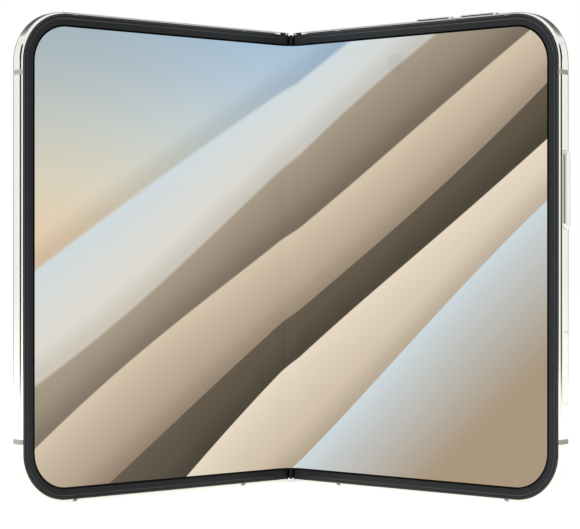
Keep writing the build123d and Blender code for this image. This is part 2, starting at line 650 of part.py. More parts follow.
def hinge_arms(leaf, name):
    """Geared hubs on the hinge pins, with the arms and plates that carry the leaf."""
    with BuildPart() as arms:
        for sign in (-1, 1):
            low, high = reach(sign, GEAR_START, GEAR_END)
            add(gear(leaf.side * PIN_S, low, half_step=leaf.side > 0))
            low, high = sorted((sign * GEAR_END, sign * ARM_END))
            with BuildSketch(leaf.profile(low, high)):
                with Locations((PIN_S, -PIN_DEPTH)):
                    Circle(HUB_RADIUS)
                with Locations(((PIN_S + ARM_PLATE_END) / 2, (MIDPLATE_BACK - ARM_PLATE_THICKNESS / 2))):
                    Rectangle(ARM_PLATE_END - PIN_S, ARM_PLATE_THICKNESS)
                with Locations(((PIN_S + RAIL_END) / 2, (MIDPLATE_BACK - PIN_DEPTH - ARM_DROP) / 2)):
                    Rectangle(RAIL_END - PIN_S, MIDPLATE_BACK + PIN_DEPTH + ARM_DROP)
            extrude(amount=high - low)
            middle = sign * ARM_CENTRE
            add(slab(leaf, (RAIL_END + PART_GAP, ARM_PLATE_END),
                     (middle - ARM_PLATE_WIDTH / 2, middle + ARM_PLATE_WIDTH / 2),
                     (MIDPLATE_BACK - ARM_PLATE_THICKNESS, MIDPLATE_BACK), INNER_ROUND))
            add(pin_holes(reach(sign, GEAR_START, ARM_END), (leaf.side * PIN_S,), PIN_RADIUS + PIN_FIT),
                mode=Mode.SUBTRACT)
        for z in SCREW_ZS:
            add(disc(leaf, SCREW_S, z, SCREW_RADIUS + SCREW_FIT, (BACK, 0)), mode=Mode.SUBTRACT)
    save(arms.part, f"{name}_hinge_arms")


def hinge_screws(leaf, name):
    """Screws through the arm plates into the midplate."""
    head_top = MIDPLATE_BACK - ARM_PLATE_THICKNESS
    with BuildPart() as screws:
        for z in SCREW_ZS:
            add(disc(leaf, SCREW_S, z, SCREW_RADIUS, (head_top, MIDPLATE_FRONT - GLUE_GAP)))
            add(disc(leaf, SCREW_S, z, SCREW_HEAD_RADIUS, (head_top - SCREW_HEAD_HEIGHT, head_top)))
    save(screws.part, f"{name}_hinge_screws")


def midplate(leaf, name, cuts):
    """The plate that carries the display in front and the inner pieces behind."""
    with BuildPart() as plate:
        extrude(outline(leaf, MIDPLATE_BACK, RAIL_END, WALL + GLUE_GAP), amount=MIDPLATE_THICKNESS)
        for z in SCREW_ZS:
            add(disc(leaf, SCREW_S, z, SCREW_RADIUS + SCREW_FIT, (BACK, 0)), mode=Mode.SUBTRACT)
        window = CABLE_WIDTH / 2 + CABLE_WINDOW
        add(slab(leaf, (0, FOLD_REACH + CABLE_TAIL + CABLE_WINDOW), (-window, window), (BACK, 0)),
            mode=Mode.SUBTRACT)
        for cut in cuts:
            add(cut, mode=Mode.SUBTRACT)
    save(plate.part, f"{name}_midplate")


INNER_CAMERA_Z = MID_Z - INNER_CAMERA_TOP
port_half = PORT_LENGTH / 2 + PART_GAP
port_room = slab(RIGHT, (MIDDLE_S - port_half, MIDDLE_S + port_half),
                 (-MID_Z, PORT_DEPTH - MID_Z + PART_GAP), (BACK, 0))
camera_room = disc(RIGHT, INNER_CAMERA_S, INNER_CAMERA_Z, INNER_CAMERA_RADIUS + PART_GAP, (BACK, 0))
button_rooms = [
    wall_slot(wall, length + LEAF_THICKNESS, LEAF_THICKNESS, WALL + GLUE_GAP + travel + PART_GAP)
    for wall, length, width, proud, travel in BUTTONS.values()
]
midplate(LEFT, "left", [])
midplate(RIGHT, "right", [port_room, camera_room] + button_rooms)
for leaf, name in ((LEFT, "left"), (RIGHT, "right")):
    hinge_arms(leaf, name)
    hinge_screws(leaf, name)

# ---------------------------------------------------------------- buttons, switches and port
SWITCH_FRONT = WALL + GLUE_GAP + FLANGE_THICKNESS + GLUE_GAP
for name, (wall, length, width, proud, travel) in BUTTONS.items():
    depth = WALL + GLUE_GAP
    with BuildPart() as button:
        with BuildSketch(wall.offset(-depth)):
            SlotOverall(length, width)
        extrude(amount=depth + proud)
        if proud > BUTTON_ROUND:
            fillet(button.edges().group_by(Axis(wall.origin, wall.z_dir))[-1], BUTTON_ROUND)
        with BuildSketch(wall.offset(-depth - FLANGE_THICKNESS)):
            Rectangle(length + 2 * FLANGE_EAR, FLANGE_WIDTH)
        extrude(amount=FLANGE_THICKNESS)
    save(button.part, name)

with BuildPart() as button_switches:
    for wall, length, width, proud, travel in BUTTONS.values():
        rise = PIN_DEPTH + MIDPLATE_BACK - SWITCH_HEIGHT / 2
        towards_front = 1 if wall.y_dir.dot(RIGHT.front) > 0 else -1
        with BuildSketch(wall.offset(-SWITCH_FRONT - travel - SWITCH_DEPTH)):
            with Locations((0, towards_front * rise)):
                Rectangle(SWITCH_LENGTH, SWITCH_HEIGHT)
        extrude(amount=SWITCH_DEPTH)
save(button_switches.part, "button_switches")

with BuildPart() as usb_c_shell:
    with BuildSketch(PORT_WALL_PLANE.offset(-PORT_DEPTH)):
        SlotOverall(PORT_LENGTH, PORT_WIDTH)
    extrude(amount=PORT_DEPTH - PART_GAP)
    with BuildSketch(PORT_WALL_PLANE.offset(PORT_WALL - PORT_DEPTH)):
        SlotOverall(PORT_LENGTH - 2 * PORT_WALL, PORT_WIDTH - 2 * PORT_WALL)
    extrude(amount=PORT_DEPTH, mode=Mode.SUBTRACT)
save(usb_c_shell.part, "usb_c_shell")

with BuildPart() as usb_c_tongue:
    with BuildSketch(PORT_WALL_PLANE.offset(PORT_WALL - PORT_DEPTH)):
        Rectangle(TONGUE_LENGTH, TONGUE_THICKNESS)
    extrude(amount=PORT_DEPTH - PORT_WALL - TONGUE_SHORT)
save(usb_c_tongue.part, "usb_c_tongue")

# ---------------------------------------------------------------- batteries, boards and other inner pieces
BOTTOM = -INNER_HALF
INNER_S = LEAF_WIDTH - WALL
BATTERY_S = (BATTERY_START, INNER_S - BATTERY_MARGIN)
BATTERY_LOW = BOTTOM + PORT_ZONE
LEFT_BATTERY_TOP = INNER_HALF - SUB_BOARD_ROOM
RIGHT_BATTERY_TOP = INNER_HALF - MAIN_BOARD_ROOM
PANEL_LEVEL = INNER_BACK + COVER_PANEL_THICKNESS
COIL_LEVEL = INNER_BACK + COIL_GAP
LEFT_BATTERY_LEVELS = (PANEL_LEVEL + SWELLING_GAP, MIDPLATE_BACK)
RIGHT_BATTERY_LEVELS = (COIL_LEVEL + COIL_THICKNESS, MIDPLATE_BACK)
LEFT_INNER_LEVELS = (PANEL_LEVEL + INNER_GAP, MIDPLATE_BACK)
RIGHT_INNER_LEVELS = (INNER_BACK + INNER_GAP, MIDPLATE_BACK)
BOARD_S = (BATTERY_START, INNER_S - BOARD_MARGIN)
BOARD_TOP = INNER_HALF - BOARD_MARGIN
BOARD_LEVELS = (MIDPLATE_BACK - BOARD_THICKNESS, MIDPLATE_BACK)
SHIELD_LEVELS = (BOARD_LEVELS[0] - SHIELD_HEIGHT, BOARD_LEVELS[0])
PLATEAU_S = LEAF_WIDTH - PLATEAU_SIDE - PLATEAU_WIDTH / 2
PLATEAU_Z = MID_Z - PLATEAU_TOP - PLATEAU_HEIGHT / 2
LENS_ZS = (PLATEAU_Z + PLATEAU_HEIGHT / 2 - PLATEAU_WIDTH / 2,
           PLATEAU_Z + PLATEAU_HEIGHT / 2 - PLATEAU_WIDTH / 2 - LENS_SPACING)
CAMERA_RADIUS = BORE_RADIUS - MODULE_FIT
FLASH_S = PLATEAU_S + PLATEAU_WIDTH / 2 - RING_OUTER / 2
FLASH_Z = PLATEAU_Z - PLATEAU_HEIGHT / 2 + RING_OUTER / 2 + FLASH_RADIUS / 2

save(slab(LEFT, BATTERY_S, (BATTERY_LOW, LEFT_BATTERY_TOP), LEFT_BATTERY_LEVELS, BATTERY_ROUND),
     "left_battery")
save(slab(RIGHT, BATTERY_S, (BATTERY_LOW, RIGHT_BATTERY_TOP), RIGHT_BATTERY_LEVELS, BATTERY_ROUND),
     "right_battery")
save(slab(LEFT, BOARD_S, (LEFT_BATTERY_TOP + BOARD_GAP, BOARD_TOP - EARPIECE_HEIGHT), BOARD_LEVELS,
          BOARD_ROUND), "sub_board")

camera_holes = [disc(RIGHT, PLATEAU_S, z, BORE_RADIUS, (BACK - PLATEAU_THICKNESS, 0)) for z in LENS_ZS]
board_z = (RIGHT_BATTERY_TOP + BOARD_GAP, BOARD_TOP)
with BuildPart() as main_board:
    add(slab(RIGHT, BOARD_S, board_z, BOARD_LEVELS, BOARD_ROUND))
    for hole in camera_holes + [camera_room]:
        add(hole, mode=Mode.SUBTRACT)
save(main_board.part, "main_board")

shield_end = PLATEAU_S - BORE_RADIUS - SHIELD_MARGIN
shield_split = INNER_CAMERA_Z - INNER_CAMERA_RADIUS - SHIELD_MARGIN
with BuildPart() as board_shields:
    middle = (board_z[0] + shield_split) / 2
    for z_range in ((board_z[0] + SHIELD_MARGIN, middle - SHIELD_GAP / 2),
                    (middle + SHIELD_GAP / 2, shield_split)):
        add(slab(RIGHT, (BOARD_S[0] + SHIELD_MARGIN, shield_end), z_range, SHIELD_LEVELS, INNER_ROUND))
save(board_shields.part, "board_shields")

save(disc(RIGHT, sum(BATTERY_S) / 2, (BATTERY_LOW + RIGHT_BATTERY_TOP) / 2, COIL_OUTER,
          (COIL_LEVEL, COIL_LEVEL + COIL_THICKNESS), COIL_INNER), "charging_coil")
save(slab(RIGHT, SPEAKER_S, (BOTTOM + PART_GAP, BATTERY_LOW - PART_GAP), RIGHT_INNER_LEVELS, INNER_ROUND),
     "loudspeaker")
save(slab(LEFT, (MOTOR_S - MOTOR_LENGTH / 2, MOTOR_S + MOTOR_LENGTH / 2),
          (BOTTOM + MOTOR_MARGIN, BATTERY_LOW - MOTOR_MARGIN), LEFT_INNER_LEVELS, INNER_ROUND),
     "haptic_motor")
save(slab(LEFT, (MIDDLE_S - EARPIECE_LENGTH / 2, MIDDLE_S + EARPIECE_LENGTH / 2),
          (INNER_HALF - PART_GAP - EARPIECE_HEIGHT, INNER_HALF - PART_GAP), LEFT_INNER_LEVELS, INNER_ROUND),
     "earpiece")

# Closing magnets: one before each corner, and one between the power and shutter buttons.
end_magnet_z = MID_Z - CORNER_RADIUS - MAGNET_CORNER_GAP - MAGNET_LENGTH / 2
middle_magnet_z = (POWER_Z - POWER_LENGTH / 2 + SHUTTER_Z + SHUTTER_LENGTH / 2) / 2
for leaf, name in ((LEFT, "left"), (RIGHT, "right")):
    with BuildPart() as magnets:
        for z in (-end_magnet_z, middle_magnet_z, end_magnet_z):
            add(slab(leaf, (INNER_S - PART_GAP - MAGNET_WIDTH, INNER_S - PART_GAP),
                     (z - MAGNET_LENGTH / 2, z + MAGNET_LENGTH / 2),
                     (MIDPLATE_BACK - MAGNET_THICKNESS, MIDPLATE_BACK)))
    save(magnets.part, f"{name}_magnets")

# ---------------------------------------------------------------- cover display on the back of the left leaf
GLASS_INSET = BACK_RIM + GLUE_GAP
COVER_CAMERA_Z = MID_Z - COVER_CAMERA_TOP
with BuildPart() as cover_glass:
    extrude(outline(LEFT, BACK, RAIL_END + GLUE_GAP, GLASS_INSET), amount=BACK_WALL)
save(cover_glass.part, "cover_glass")

panel_inset = WALL + COVER_PANEL_MARGIN
with BuildPart() as cover_display:
    extrude(outline(LEFT, INNER_BACK, RAIL_END + COVER_PANEL_MARGIN, panel_inset),
            amount=COVER_PANEL_THICKNESS)
    add(disc(LEFT, MIDDLE_S, COVER_CAMERA_Z, COVER_CAMERA_RADIUS + PART_GAP, (BACK, 0)),
        mode=Mode.SUBTRACT)
save(cover_display.part, "cover_display")
save(disc(LEFT, MIDDLE_S, COVER_CAMERA_Z, COVER_CAMERA_RADIUS, (INNER_BACK, BOARD_LEVELS[0])),
     "cover_camera")

# ---------------------------------------------------------------- back glass and cameras of the right leaf
with BuildPart() as back_glass:
    extrude(outline(RIGHT, BACK, RAIL_END + GLUE_GAP, GLASS_INSET), amount=BACK_WALL)
    for hole in camera_holes:
        add(hole, mode=Mode.SUBTRACT)
    add(disc(RIGHT, FLASH_S, FLASH_Z, FLASH_RADIUS, (BACK - WALL, 0)), mode=Mode.SUBTRACT)
save(back_glass.part, "back_glass")

PLATEAU_LEVEL = BACK - PLATEAU_THICKNESS
with BuildPart() as camera_plateau:
    add(slab(RIGHT, (PLATEAU_S - PLATEAU_WIDTH / 2, PLATEAU_S + PLATEAU_WIDTH / 2),
             (PLATEAU_Z - PLATEAU_HEIGHT / 2, PLATEAU_Z + PLATEAU_HEIGHT / 2), (PLATEAU_LEVEL, BACK),
             PLATEAU_ROUND))
    fillet(camera_plateau.edges().group_by(Axis(RIGHT.origin, RIGHT.front))[0], PLATEAU_EDGE)
    for z in LENS_ZS:
        add(disc(RIGHT, PLATEAU_S, z, BORE_RADIUS, (PLATEAU_LEVEL - WALL, 0)), mode=Mode.SUBTRACT)
    add(disc(RIGHT, FLASH_S, FLASH_Z, FLASH_RADIUS + GLUE_GAP, (PLATEAU_LEVEL - WALL, 0)), mode=Mode.SUBTRACT)
save(camera_plateau.part, "camera_plateau")

with BuildPart() as camera_rings:
    for z in LENS_ZS:
        add(disc(RIGHT, PLATEAU_S, z, RING_OUTER, (PLATEAU_LEVEL - RING_HEIGHT, PLATEAU_LEVEL), BORE_RADIUS))
    chamfer(camera_rings.edges().group_by(Axis(RIGHT.origin, RIGHT.front))[0], RING_EDGE)
save(camera_rings.part, "camera_rings")

with BuildPart() as camera_lenses:
    for z in LENS_ZS:
        add(disc(RIGHT, PLATEAU_S, z, CAMERA_RADIUS, (PLATEAU_LEVEL - LENS_THICKNESS / 2,
                                                      PLATEAU_LEVEL + LENS_THICKNESS / 2)))
save(camera_lenses.part, "camera_lenses")

with BuildPart() as camera_modules:
    for z in LENS_ZS:
        add(disc(RIGHT, PLATEAU_S, z, CAMERA_RADIUS, (PLATEAU_LEVEL + LENS_THICKNESS / 2, MIDPLATE_BACK)))
save(camera_modules.part, "camera_modules")
save(disc(RIGHT, FLASH_S, FLASH_Z, FLASH_RADIUS, (PLATEAU_LEVEL, PLATEAU_LEVEL + FLASH_THICKNESS)),
     "flash_window")
save(disc(RIGHT, INNER_CAMERA_S, INNER_CAMERA_Z, INNER_CAMERA_RADIUS,
          (MIDPLATE_FRONT - INNER_CAMERA_DEPTH, MIDPLATE_FRONT)), "inner_camera")
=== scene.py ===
"""Looks of the foldable smartphone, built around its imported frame.

The two leaves stand half open on their bottom edges. Places on a leaf are given in millimetres as s, z
and n: s runs outward from the fold line along the leaf, z runs up from mid-height, and n runs forward
from the display surface.
"""
import json
import logging
from collections.abc import Callable, Iterable, Sequence
from dataclasses import dataclass, field
from enum import Enum
from math import asin, cos, pi, radians, sin, tan

import bmesh
import bpy
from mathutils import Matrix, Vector

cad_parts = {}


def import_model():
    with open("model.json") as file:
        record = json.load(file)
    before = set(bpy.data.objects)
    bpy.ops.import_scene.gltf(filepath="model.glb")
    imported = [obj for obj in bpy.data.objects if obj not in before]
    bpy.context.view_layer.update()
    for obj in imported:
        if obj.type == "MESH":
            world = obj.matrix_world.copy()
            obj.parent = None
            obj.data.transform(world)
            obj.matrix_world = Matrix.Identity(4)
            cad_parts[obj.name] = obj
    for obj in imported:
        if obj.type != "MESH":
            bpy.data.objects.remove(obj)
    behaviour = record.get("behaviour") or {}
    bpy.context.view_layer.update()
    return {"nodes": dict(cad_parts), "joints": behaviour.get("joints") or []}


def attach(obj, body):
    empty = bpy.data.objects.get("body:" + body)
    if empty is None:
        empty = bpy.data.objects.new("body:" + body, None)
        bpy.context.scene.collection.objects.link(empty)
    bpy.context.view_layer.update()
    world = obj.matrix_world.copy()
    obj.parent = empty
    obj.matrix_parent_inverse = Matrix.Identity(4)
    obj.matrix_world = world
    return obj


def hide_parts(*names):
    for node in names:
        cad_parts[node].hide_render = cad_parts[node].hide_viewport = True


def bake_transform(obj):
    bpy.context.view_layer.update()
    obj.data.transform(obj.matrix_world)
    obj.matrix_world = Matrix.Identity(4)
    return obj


LOG = logging.getLogger("foldable_phone")
MM = 0.001
PHONE_HEIGHT = 120.6
MID_Z = PHONE_HEIGHT / 2
LEAF_WIDTH = 83.8
CORNER_RADIUS = 12.7
LEAF_THICKNESS = 4.8
PIN_DEPTH = LEAF_THICKNESS / 2
PIN_S = 2.65
FOLD_ANGLE = radians(38)
FLAT_MAP = "leaf_place"
FLAT_SPAN = 200.0

Color = tuple[float, float, float, float]
Profile = Sequence[tuple[float, float]]


def tone(code: str) -> Color:
    """Turns a colour code into the linear colour that a shader reads.

    Args:
        code: Six hexadecimal digits, red, green and blue.

    Returns:
        The linear colour with an alpha of 1.
    """
    parts = [int(code[i:i + 2], 16) / 255 for i in (0, 2, 4)]
    linear = [p / 12.92 if p <= 0.04045 else ((p + 0.055) / 1.055) ** 2.4 for p in parts]
    return (*linear, 1.0)


# ------------------------------------------------------------------------------------ places and meshes
@dataclass(frozen=True)
class LeafPlace:
    """Turns places on one leaf into places of the frame.

    Attributes:
        side: 1 for the right leaf, -1 for the left one.
        pin: The leaf's hinge pin at mid-height, in metres.
        body: The leaf's body in the frame.
    """

    side: int
    pin: Vector
    body: str

    @property
    def out(self) -> Vector:
        """Direction from the fold line to the outer wall."""
        return Vector((self.side * cos(FOLD_ANGLE), -sin(FOLD_ANGLE), 0))

    @property
    def front(self) -> Vector:
        """Direction that the display faces."""
        return Vector((-self.side * sin(FOLD_ANGLE), -cos(FOLD_ANGLE), 0))

    @property
    def name(self) -> str:
        """Word for this side in the names of pieces."""
        return "right" if self.side > 0 else "left"

    def at(self, s: float, z: float, n: float) -> Vector:
        """Gives the place of s, z and n in metres."""
        return self.pin + MM * (self.out * (s - PIN_S) + self.front * (n + PIN_DEPTH) + Vector((0, 0, z)))


@dataclass(frozen=True)
class Station:
    """A place along a leaf's outline, from which insets are measured inward.

    Attributes:
        s: Middle of the corner arc along the leaf.
        z: Middle of the corner arc upward.
        ds: Outward direction along the leaf.
        dz: Outward direction upward.
    """

    s: float
    z: float
    ds: float
    dz: float

    def spot(self, inset: float) -> tuple[float, float]:
        """Gives s and z at a distance inside the outline."""
        reach = CORNER_RADIUS - inset
        return self.s + self.ds * reach, self.z + self.dz * reach


def outline_stations(starts: Sequence[float], steps: int = 20) -> list[Station]:
    """Walks a leaf's outline from the fold side below, round the outer wall, back to the fold side above.

    Args:
        starts: Distances from the fold line of the stations on the straight ends, the nearest first.
        steps: Number of steps in each round corner.

    Returns:
        The stations in order.
    """
    s, z = LEAF_WIDTH - CORNER_RADIUS, MID_Z - CORNER_RADIUS
    low = [Station(start, -z, 0, -1) for start in starts]
    turns = [pi / 2 * i / steps for i in range(steps + 1)]
    lower = [Station(s, -z, sin(t), -cos(t)) for t in turns]
    upper = [Station(s, z, cos(t), sin(t)) for t in turns]
    return low + lower + upper + [Station(start, z, 0, 1) for start in reversed(starts)]


@dataclass
class Solid:
    """Corners and faces of a piece while it is being made.

    Attributes:
        corners: Places in metres.
        faces: Corner numbers of each face.
        finishes: Number of the finish that each face takes.
        flat: Place of each corner on the flat display, where it has one.
    """

    corners: list[Vector] = field(default_factory=list)
    faces: list[tuple[int, ...]] = field(default_factory=list)
    finishes: list[int] = field(default_factory=list)
    flat: list[tuple[float, float]] = field(default_factory=list)

    def face(self, numbers: Iterable[int], finish: int = 0) -> None:
        """Adds one face."""
        self.faces.append(tuple(numbers))
        self.finishes.append(finish)

    def skin(self, loops: Sequence[Sequence[Vector]], ring: bool = False,
             finish: Callable[[int], int] = lambda i: 0, close: bool = True) -> None:
        """Joins closed loops of equal length, one after another.

        Args:
            loops: The loops of places.
            ring: Whether the last loop joins the first one.
            finish: Gives the finish of the band that starts at a corner number of a loop.
            close: Whether the first and last loops are closed by a face.
        """
        first, size = len(self.corners), len(loops[0])
        for loop in loops:
            self.corners.extend(loop)
        last = len(loops) if ring else len(loops) - 1
        for k in range(last):
            a, b = first + k * size, first + (k + 1) % len(loops) * size
            for i in range(size):
                j = (i + 1) % size
                self.face((a + i, a + j, b + j, b + i), finish(i))
        if close and not ring:
            self.face(range(first, first + size), finish(size))
            end = first + (len(loops) - 1) * size
            self.face(range(end, end + size), finish(size))

    def turned(self, place: Callable[[float, float, float], Vector], s: float, z: float,
               profile: Profile, steps: int = 48, ring: bool = True) -> None:
        """Adds a round form turned about a line that stands on the leaf.

        Args:
            place: Turns s, z and n into a place.
            s: Middle along the leaf.
            z: Middle upward.
            profile: Radius and n of each ring.
            steps: Number of steps round the form.
            ring: Whether the profile is a closed loop; a form without a bore is closed by flat ends.
        """
        turns = [2 * pi * i / steps for i in range(steps)]
        self.skin([[place(s + r * cos(t), z + r * sin(t), n) for t in turns] for r, n in profile], ring)

    def piece(self, name: str, materials: Sequence[bpy.types.Material],
              sharp: float = 32) -> bpy.types.Object:
        """Makes the object.

        Args:
            name: Name of the piece.
            materials: Materials in the order of the finish numbers.
            sharp: Angle in degrees above which an edge stays sharp.

        Returns:
            The new object, in the scene.
        """
        mesh = bpy.data.meshes.new(name)
        mesh.from_pydata(self.corners, [], self.faces)
        mesh.polygons.foreach_set("material_index", self.finishes)
        if self.flat:
            layer = mesh.uv_layers.new(name=FLAT_MAP)
            for loop in mesh.loops:
                u, v = self.flat[loop.vertex_index]
                layer.data[loop.index].uv = (u / FLAT_SPAN + 0.5, v / FLAT_SPAN + 0.5)
        work = bmesh.new()
        work.from_mesh(mesh)
        bmesh.ops.remove_doubles(work, verts=work.verts, dist=1e-8)
        bmesh.ops.recalc_face_normals(work, faces=work.faces)
        for edge in work.edges:
            edge.smooth = len(edge.link_faces) == 2 and edge.calc_face_angle() < radians(sharp)
        work.to_mesh(mesh)
        work.free()
        for polygon in mesh.polygons:
            polygon.use_smooth = True
        for material in materials:
            mesh.materials.append(material)
        made = bpy.data.objects.new(name, mesh)
        bpy.context.scene.collection.objects.link(made)
        return made


def round_off(piece: bpy.types.Object, width: float, segments: int = 3, limit: float = 40) -> None:
    """Rounds a piece's sharp edges.

    Args:
        piece: The piece.
        width: Width of the rounding in millimetres.
        segments: Steps in the rounding.
        limit: Edges sharper than this many degrees are rounded.
    """
    bevel = piece.modifiers.new("rounded_edges", "BEVEL")
    bevel.width = width * MM
    bevel.segments = segments
    bevel.limit_method = "ANGLE"
    bevel.angle_limit = radians(limit)
    bevel.harden_normals = True


# ------------------------------------------------------------------------------------ shader building
class Tree:
    """A node tree with short ways to add and join nodes."""

    def __init__(self, tree: bpy.types.NodeTree) -> None:
        """Wraps a node tree.

        Args:
            tree: The tree of a material, a world or a group.
        """
        self.tree = tree

    def feed(self, socket: bpy.types.NodeSocket, value: object) -> None:
        """Sets a socket's value, or joins it where value is another socket."""
        if isinstance(value, bpy.types.NodeSocket):
            self.tree.links.new(value, socket)
        else:
            socket.default_value = value

    def add(self, kind: str, inputs: dict | None = None, **settings: object) -> bpy.types.Node:
        """Adds a node.

        Args:
            kind: Blender's name of the node without its ShaderNode prefix.
            inputs: Values or sockets by input name or number.
            settings: Properties of the node.

        Returns:
            The node.
        """
        node = self.tree.nodes.new("ShaderNode" + kind)
        for key, value in settings.items():
            setattr(node, key, value)
        for key, value in (inputs or {}).items():
            self.feed(node.inputs[key], value)
        return node

    def math(self, operation: str, *values: object) -> bpy.types.NodeSocket:
        """Adds a Math node and returns its result."""
        return self.add("Math", dict(enumerate(values)), operation=operation).outputs[0]

    def span(self, value: object, low: float, high: float, start: object, end: object,
             smooth: bool = False) -> bpy.types.NodeSocket:
        """Spreads a value's stretch from low to high over start to end, clamped."""
        kind = "SMOOTHSTEP" if smooth else "LINEAR"
        inputs = {"Value": value, "From Min": low, "From Max": high, "To Min": start, "To Max": end}
        return self.add("MapRange", inputs, interpolation_type=kind, clamp=True).outputs["Result"]

    def mix(self, share: object, first: object, second: object, way: str = "MIX") -> bpy.types.NodeSocket:
        """Mixes two colours and returns the result."""
        node = self.add("Mix", {0: share, 6: first, 7: second}, data_type="RGBA", blend_type=way)
        return node.outputs[2]


class Effect:
    """A shader node group with named inputs and outputs, built once and placed in many materials."""

    SOCKETS = {"float": "NodeSocketFloat", "color": "NodeSocketColor", "vector": "NodeSocketVector"}

    def __init__(self, name: str, inputs: dict[str, str], outputs: dict[str, str]) -> None:
        """Makes the empty group.

        Args:
            name: Name of the group.
            inputs: Kind of each input by name.
            outputs: Kind of each output by name.
        """
        self.group = bpy.data.node_groups.new(name, "ShaderNodeTree")
        for in_out, sockets in (("INPUT", inputs), ("OUTPUT", outputs)):
            for label, kind in sockets.items():
                self.group.interface.new_socket(name=label, in_out=in_out, socket_type=self.SOCKETS[kind])
        self.tree = Tree(self.group)
        self.given = self.group.nodes.new("NodeGroupInput").outputs
        self.result = self.group.nodes.new("NodeGroupOutput").inputs

    def give(self, **results: bpy.types.NodeSocket) -> None:
        """Joins sockets to the group's outputs, whose names are written here with _ for a space."""
        for label, socket in results.items():
            self.tree.feed(self.result[label.replace("_", " ")], socket)

    def place(self, tree: Tree, inputs: dict[str, object]) -> bpy.types.Node:
        """Places the group in a material.

        Args:
            tree: The material's tree.
            inputs: Values or sockets by input name.

        Returns:
            The group node.
        """
        node = tree.add("Group", node_tree=self.group)
        for key, value in inputs.items():
            tree.feed(node.inputs[key], value)
        return node


def grain_effect() -> Effect:
    """Builds the grain that every finish has: it varies colour, roughness and height.

    Returns:
        The effect, whose Stretch gives grains per metre along three directions after Turn.
    """
    effect = Effect("grain", {"Stretch": "vector", "Turn": "vector", "Light": "color", "Dark": "color",
                              "Smooth": "float", "Rough": "float"},
                    {"Color": "color", "Roughness": "float", "Height": "float"})
    tree, given = effect.tree, effect.given
    place = tree.add("TexCoord").outputs["Object"]
    turned = tree.add("VectorRotate", {"Vector": place, "Rotation": given["Turn"]}, rotation_type="EULER_XYZ")
    spread = tree.add("VectorMath", {0: turned.outputs[0], 1: given["Stretch"]}, operation="MULTIPLY")
    noise = tree.add("TexNoise", {"Vector": spread.outputs[0], "Scale": 1.0, "Detail": 5.0,
                                  "Roughness": 0.62})
    share = tree.span(noise.outputs["Fac"], 0.32, 0.68, 0.0, 1.0)
    effect.give(Color=tree.mix(share, given["Light"], given["Dark"]),
                Roughness=tree.span(share, 0.0, 1.0, given["Smooth"], given["Rough"]),
                Height=noise.outputs["Fac"])
    return effect


def handling_effect() -> Effect:
    """Builds the faint marks that handling leaves on polished metal and glass.

    Returns:
        The effect, which raises the roughness in soft patches and adds hair scratches to the height.
    """
    effect = Effect("handling_marks", {"Roughness": "float", "Smear": "float", "Height": "float",
                                       "Scratch": "float"},
                    {"Roughness": "float", "Height": "float"})
    tree, given = effect.tree, effect.given
    place = tree.add("TexCoord").outputs["Object"]
    patches = tree.add("TexNoise", {"Vector": place, "Scale": 38.0, "Detail": 3.0, "Roughness": 0.55})
    smear = tree.span(patches.outputs["Fac"], 0.5, 0.72, 0.0, given["Smear"], smooth=True)
    hairs = []
    for turn, stretch in (((0.3, 0.5, 0.9), (2600, 90, 130)), ((1.1, 0.2, 2.3), (110, 3100, 80))):
        turned = tree.add("VectorRotate", {"Vector": place, "Rotation": turn}, rotation_type="EULER_XYZ")
        spread = tree.add("VectorMath", {0: turned.outputs[0], 1: stretch}, operation="MULTIPLY")
        noise = tree.add("TexNoise", {"Vector": spread.outputs[0], "Scale": 1.0, "Detail": 1.0})
        hairs.append(tree.span(noise.outputs["Fac"], 0.7, 0.76, 0.0, given["Scratch"]))
    effect.give(Roughness=tree.math("ADD", given["Roughness"], smear),
                Height=tree.math("SUBTRACT", given["Height"], tree.math("MAXIMUM", *hairs)))
    return effect


def ribbon_effect() -> Effect:
    """Builds one soft ribbon of the display's picture, laid over what lies under it.

    Returns:
        The effect, whose Place is in millimetres on the flat display.
    """
    effect = Effect("ribbon", {"Under": "color", "Place": "vector", "Base": "float", "Slope": "float",
                               "Swing": "float", "Length": "float", "Phase": "float", "Curl": "float",
                               "Softness": "float", "Fade": "float", "Edge": "color", "Deep": "color"},
                    {"Color": "color"})
    tree, given = effect.tree, effect.given
    split = tree.add("SeparateXYZ", {0: given["Place"]}).outputs
    turn = tree.math("MULTIPLY_ADD", tree.math("DIVIDE", split[0], given["Length"]), 2 * pi, given["Phase"])
    wave = tree.math("MULTIPLY", tree.math("SINE", turn), given["Swing"])
    curl = tree.math("MULTIPLY", tree.math("SINE", tree.math("MULTIPLY", turn, 1.9)), given["Curl"])
    rise = tree.math("MULTIPLY_ADD", split[0], given["Slope"], given["Base"])
    level = tree.math("ADD", tree.math("ADD", wave, curl), rise)
    depth = tree.math("SUBTRACT", level, split[1])
    inside = tree.add("MapRange", {"Value": depth, "From Min": 0.0, "From Max": given["Softness"],
                                   "To Min": 0.0, "To Max": 1.0},
                      interpolation_type="SMOOTHSTEP").outputs["Result"]
    faded = tree.add("MapRange", {"Value": depth, "From Max": given["Fade"]}).outputs[0]
    down = tree.math("POWER", faded, 0.8)
    color = tree.mix(down, given["Edge"], given["Deep"])
    cast = tree.span(depth, -9.0, 0.0, 1.0, 0.8, smooth=True)
    under = tree.add("VectorMath", {0: given["Under"],
                                    1: tree.add("CombineXYZ", {0: cast, 1: cast, 2: cast}).outputs[0]},
                     operation="MULTIPLY").outputs[0]
    effect.give(Color=tree.mix(inside, under, color))
    return effect


class Lay(Enum):
    """How the grain of a finish lies, as grains per millimetre along the leaf, across it and upward."""

    EVEN = (1.0, 1.0, 1.0)
    FINE_EVEN = (9.0, 9.0, 9.0)
    BRUSHED_OUT = (0.25, 9.0, 9.0)
    BRUSHED_UP = (9.0, 9.0, 0.25)
    CLOUDY = (0.12, 0.12, 0.12)


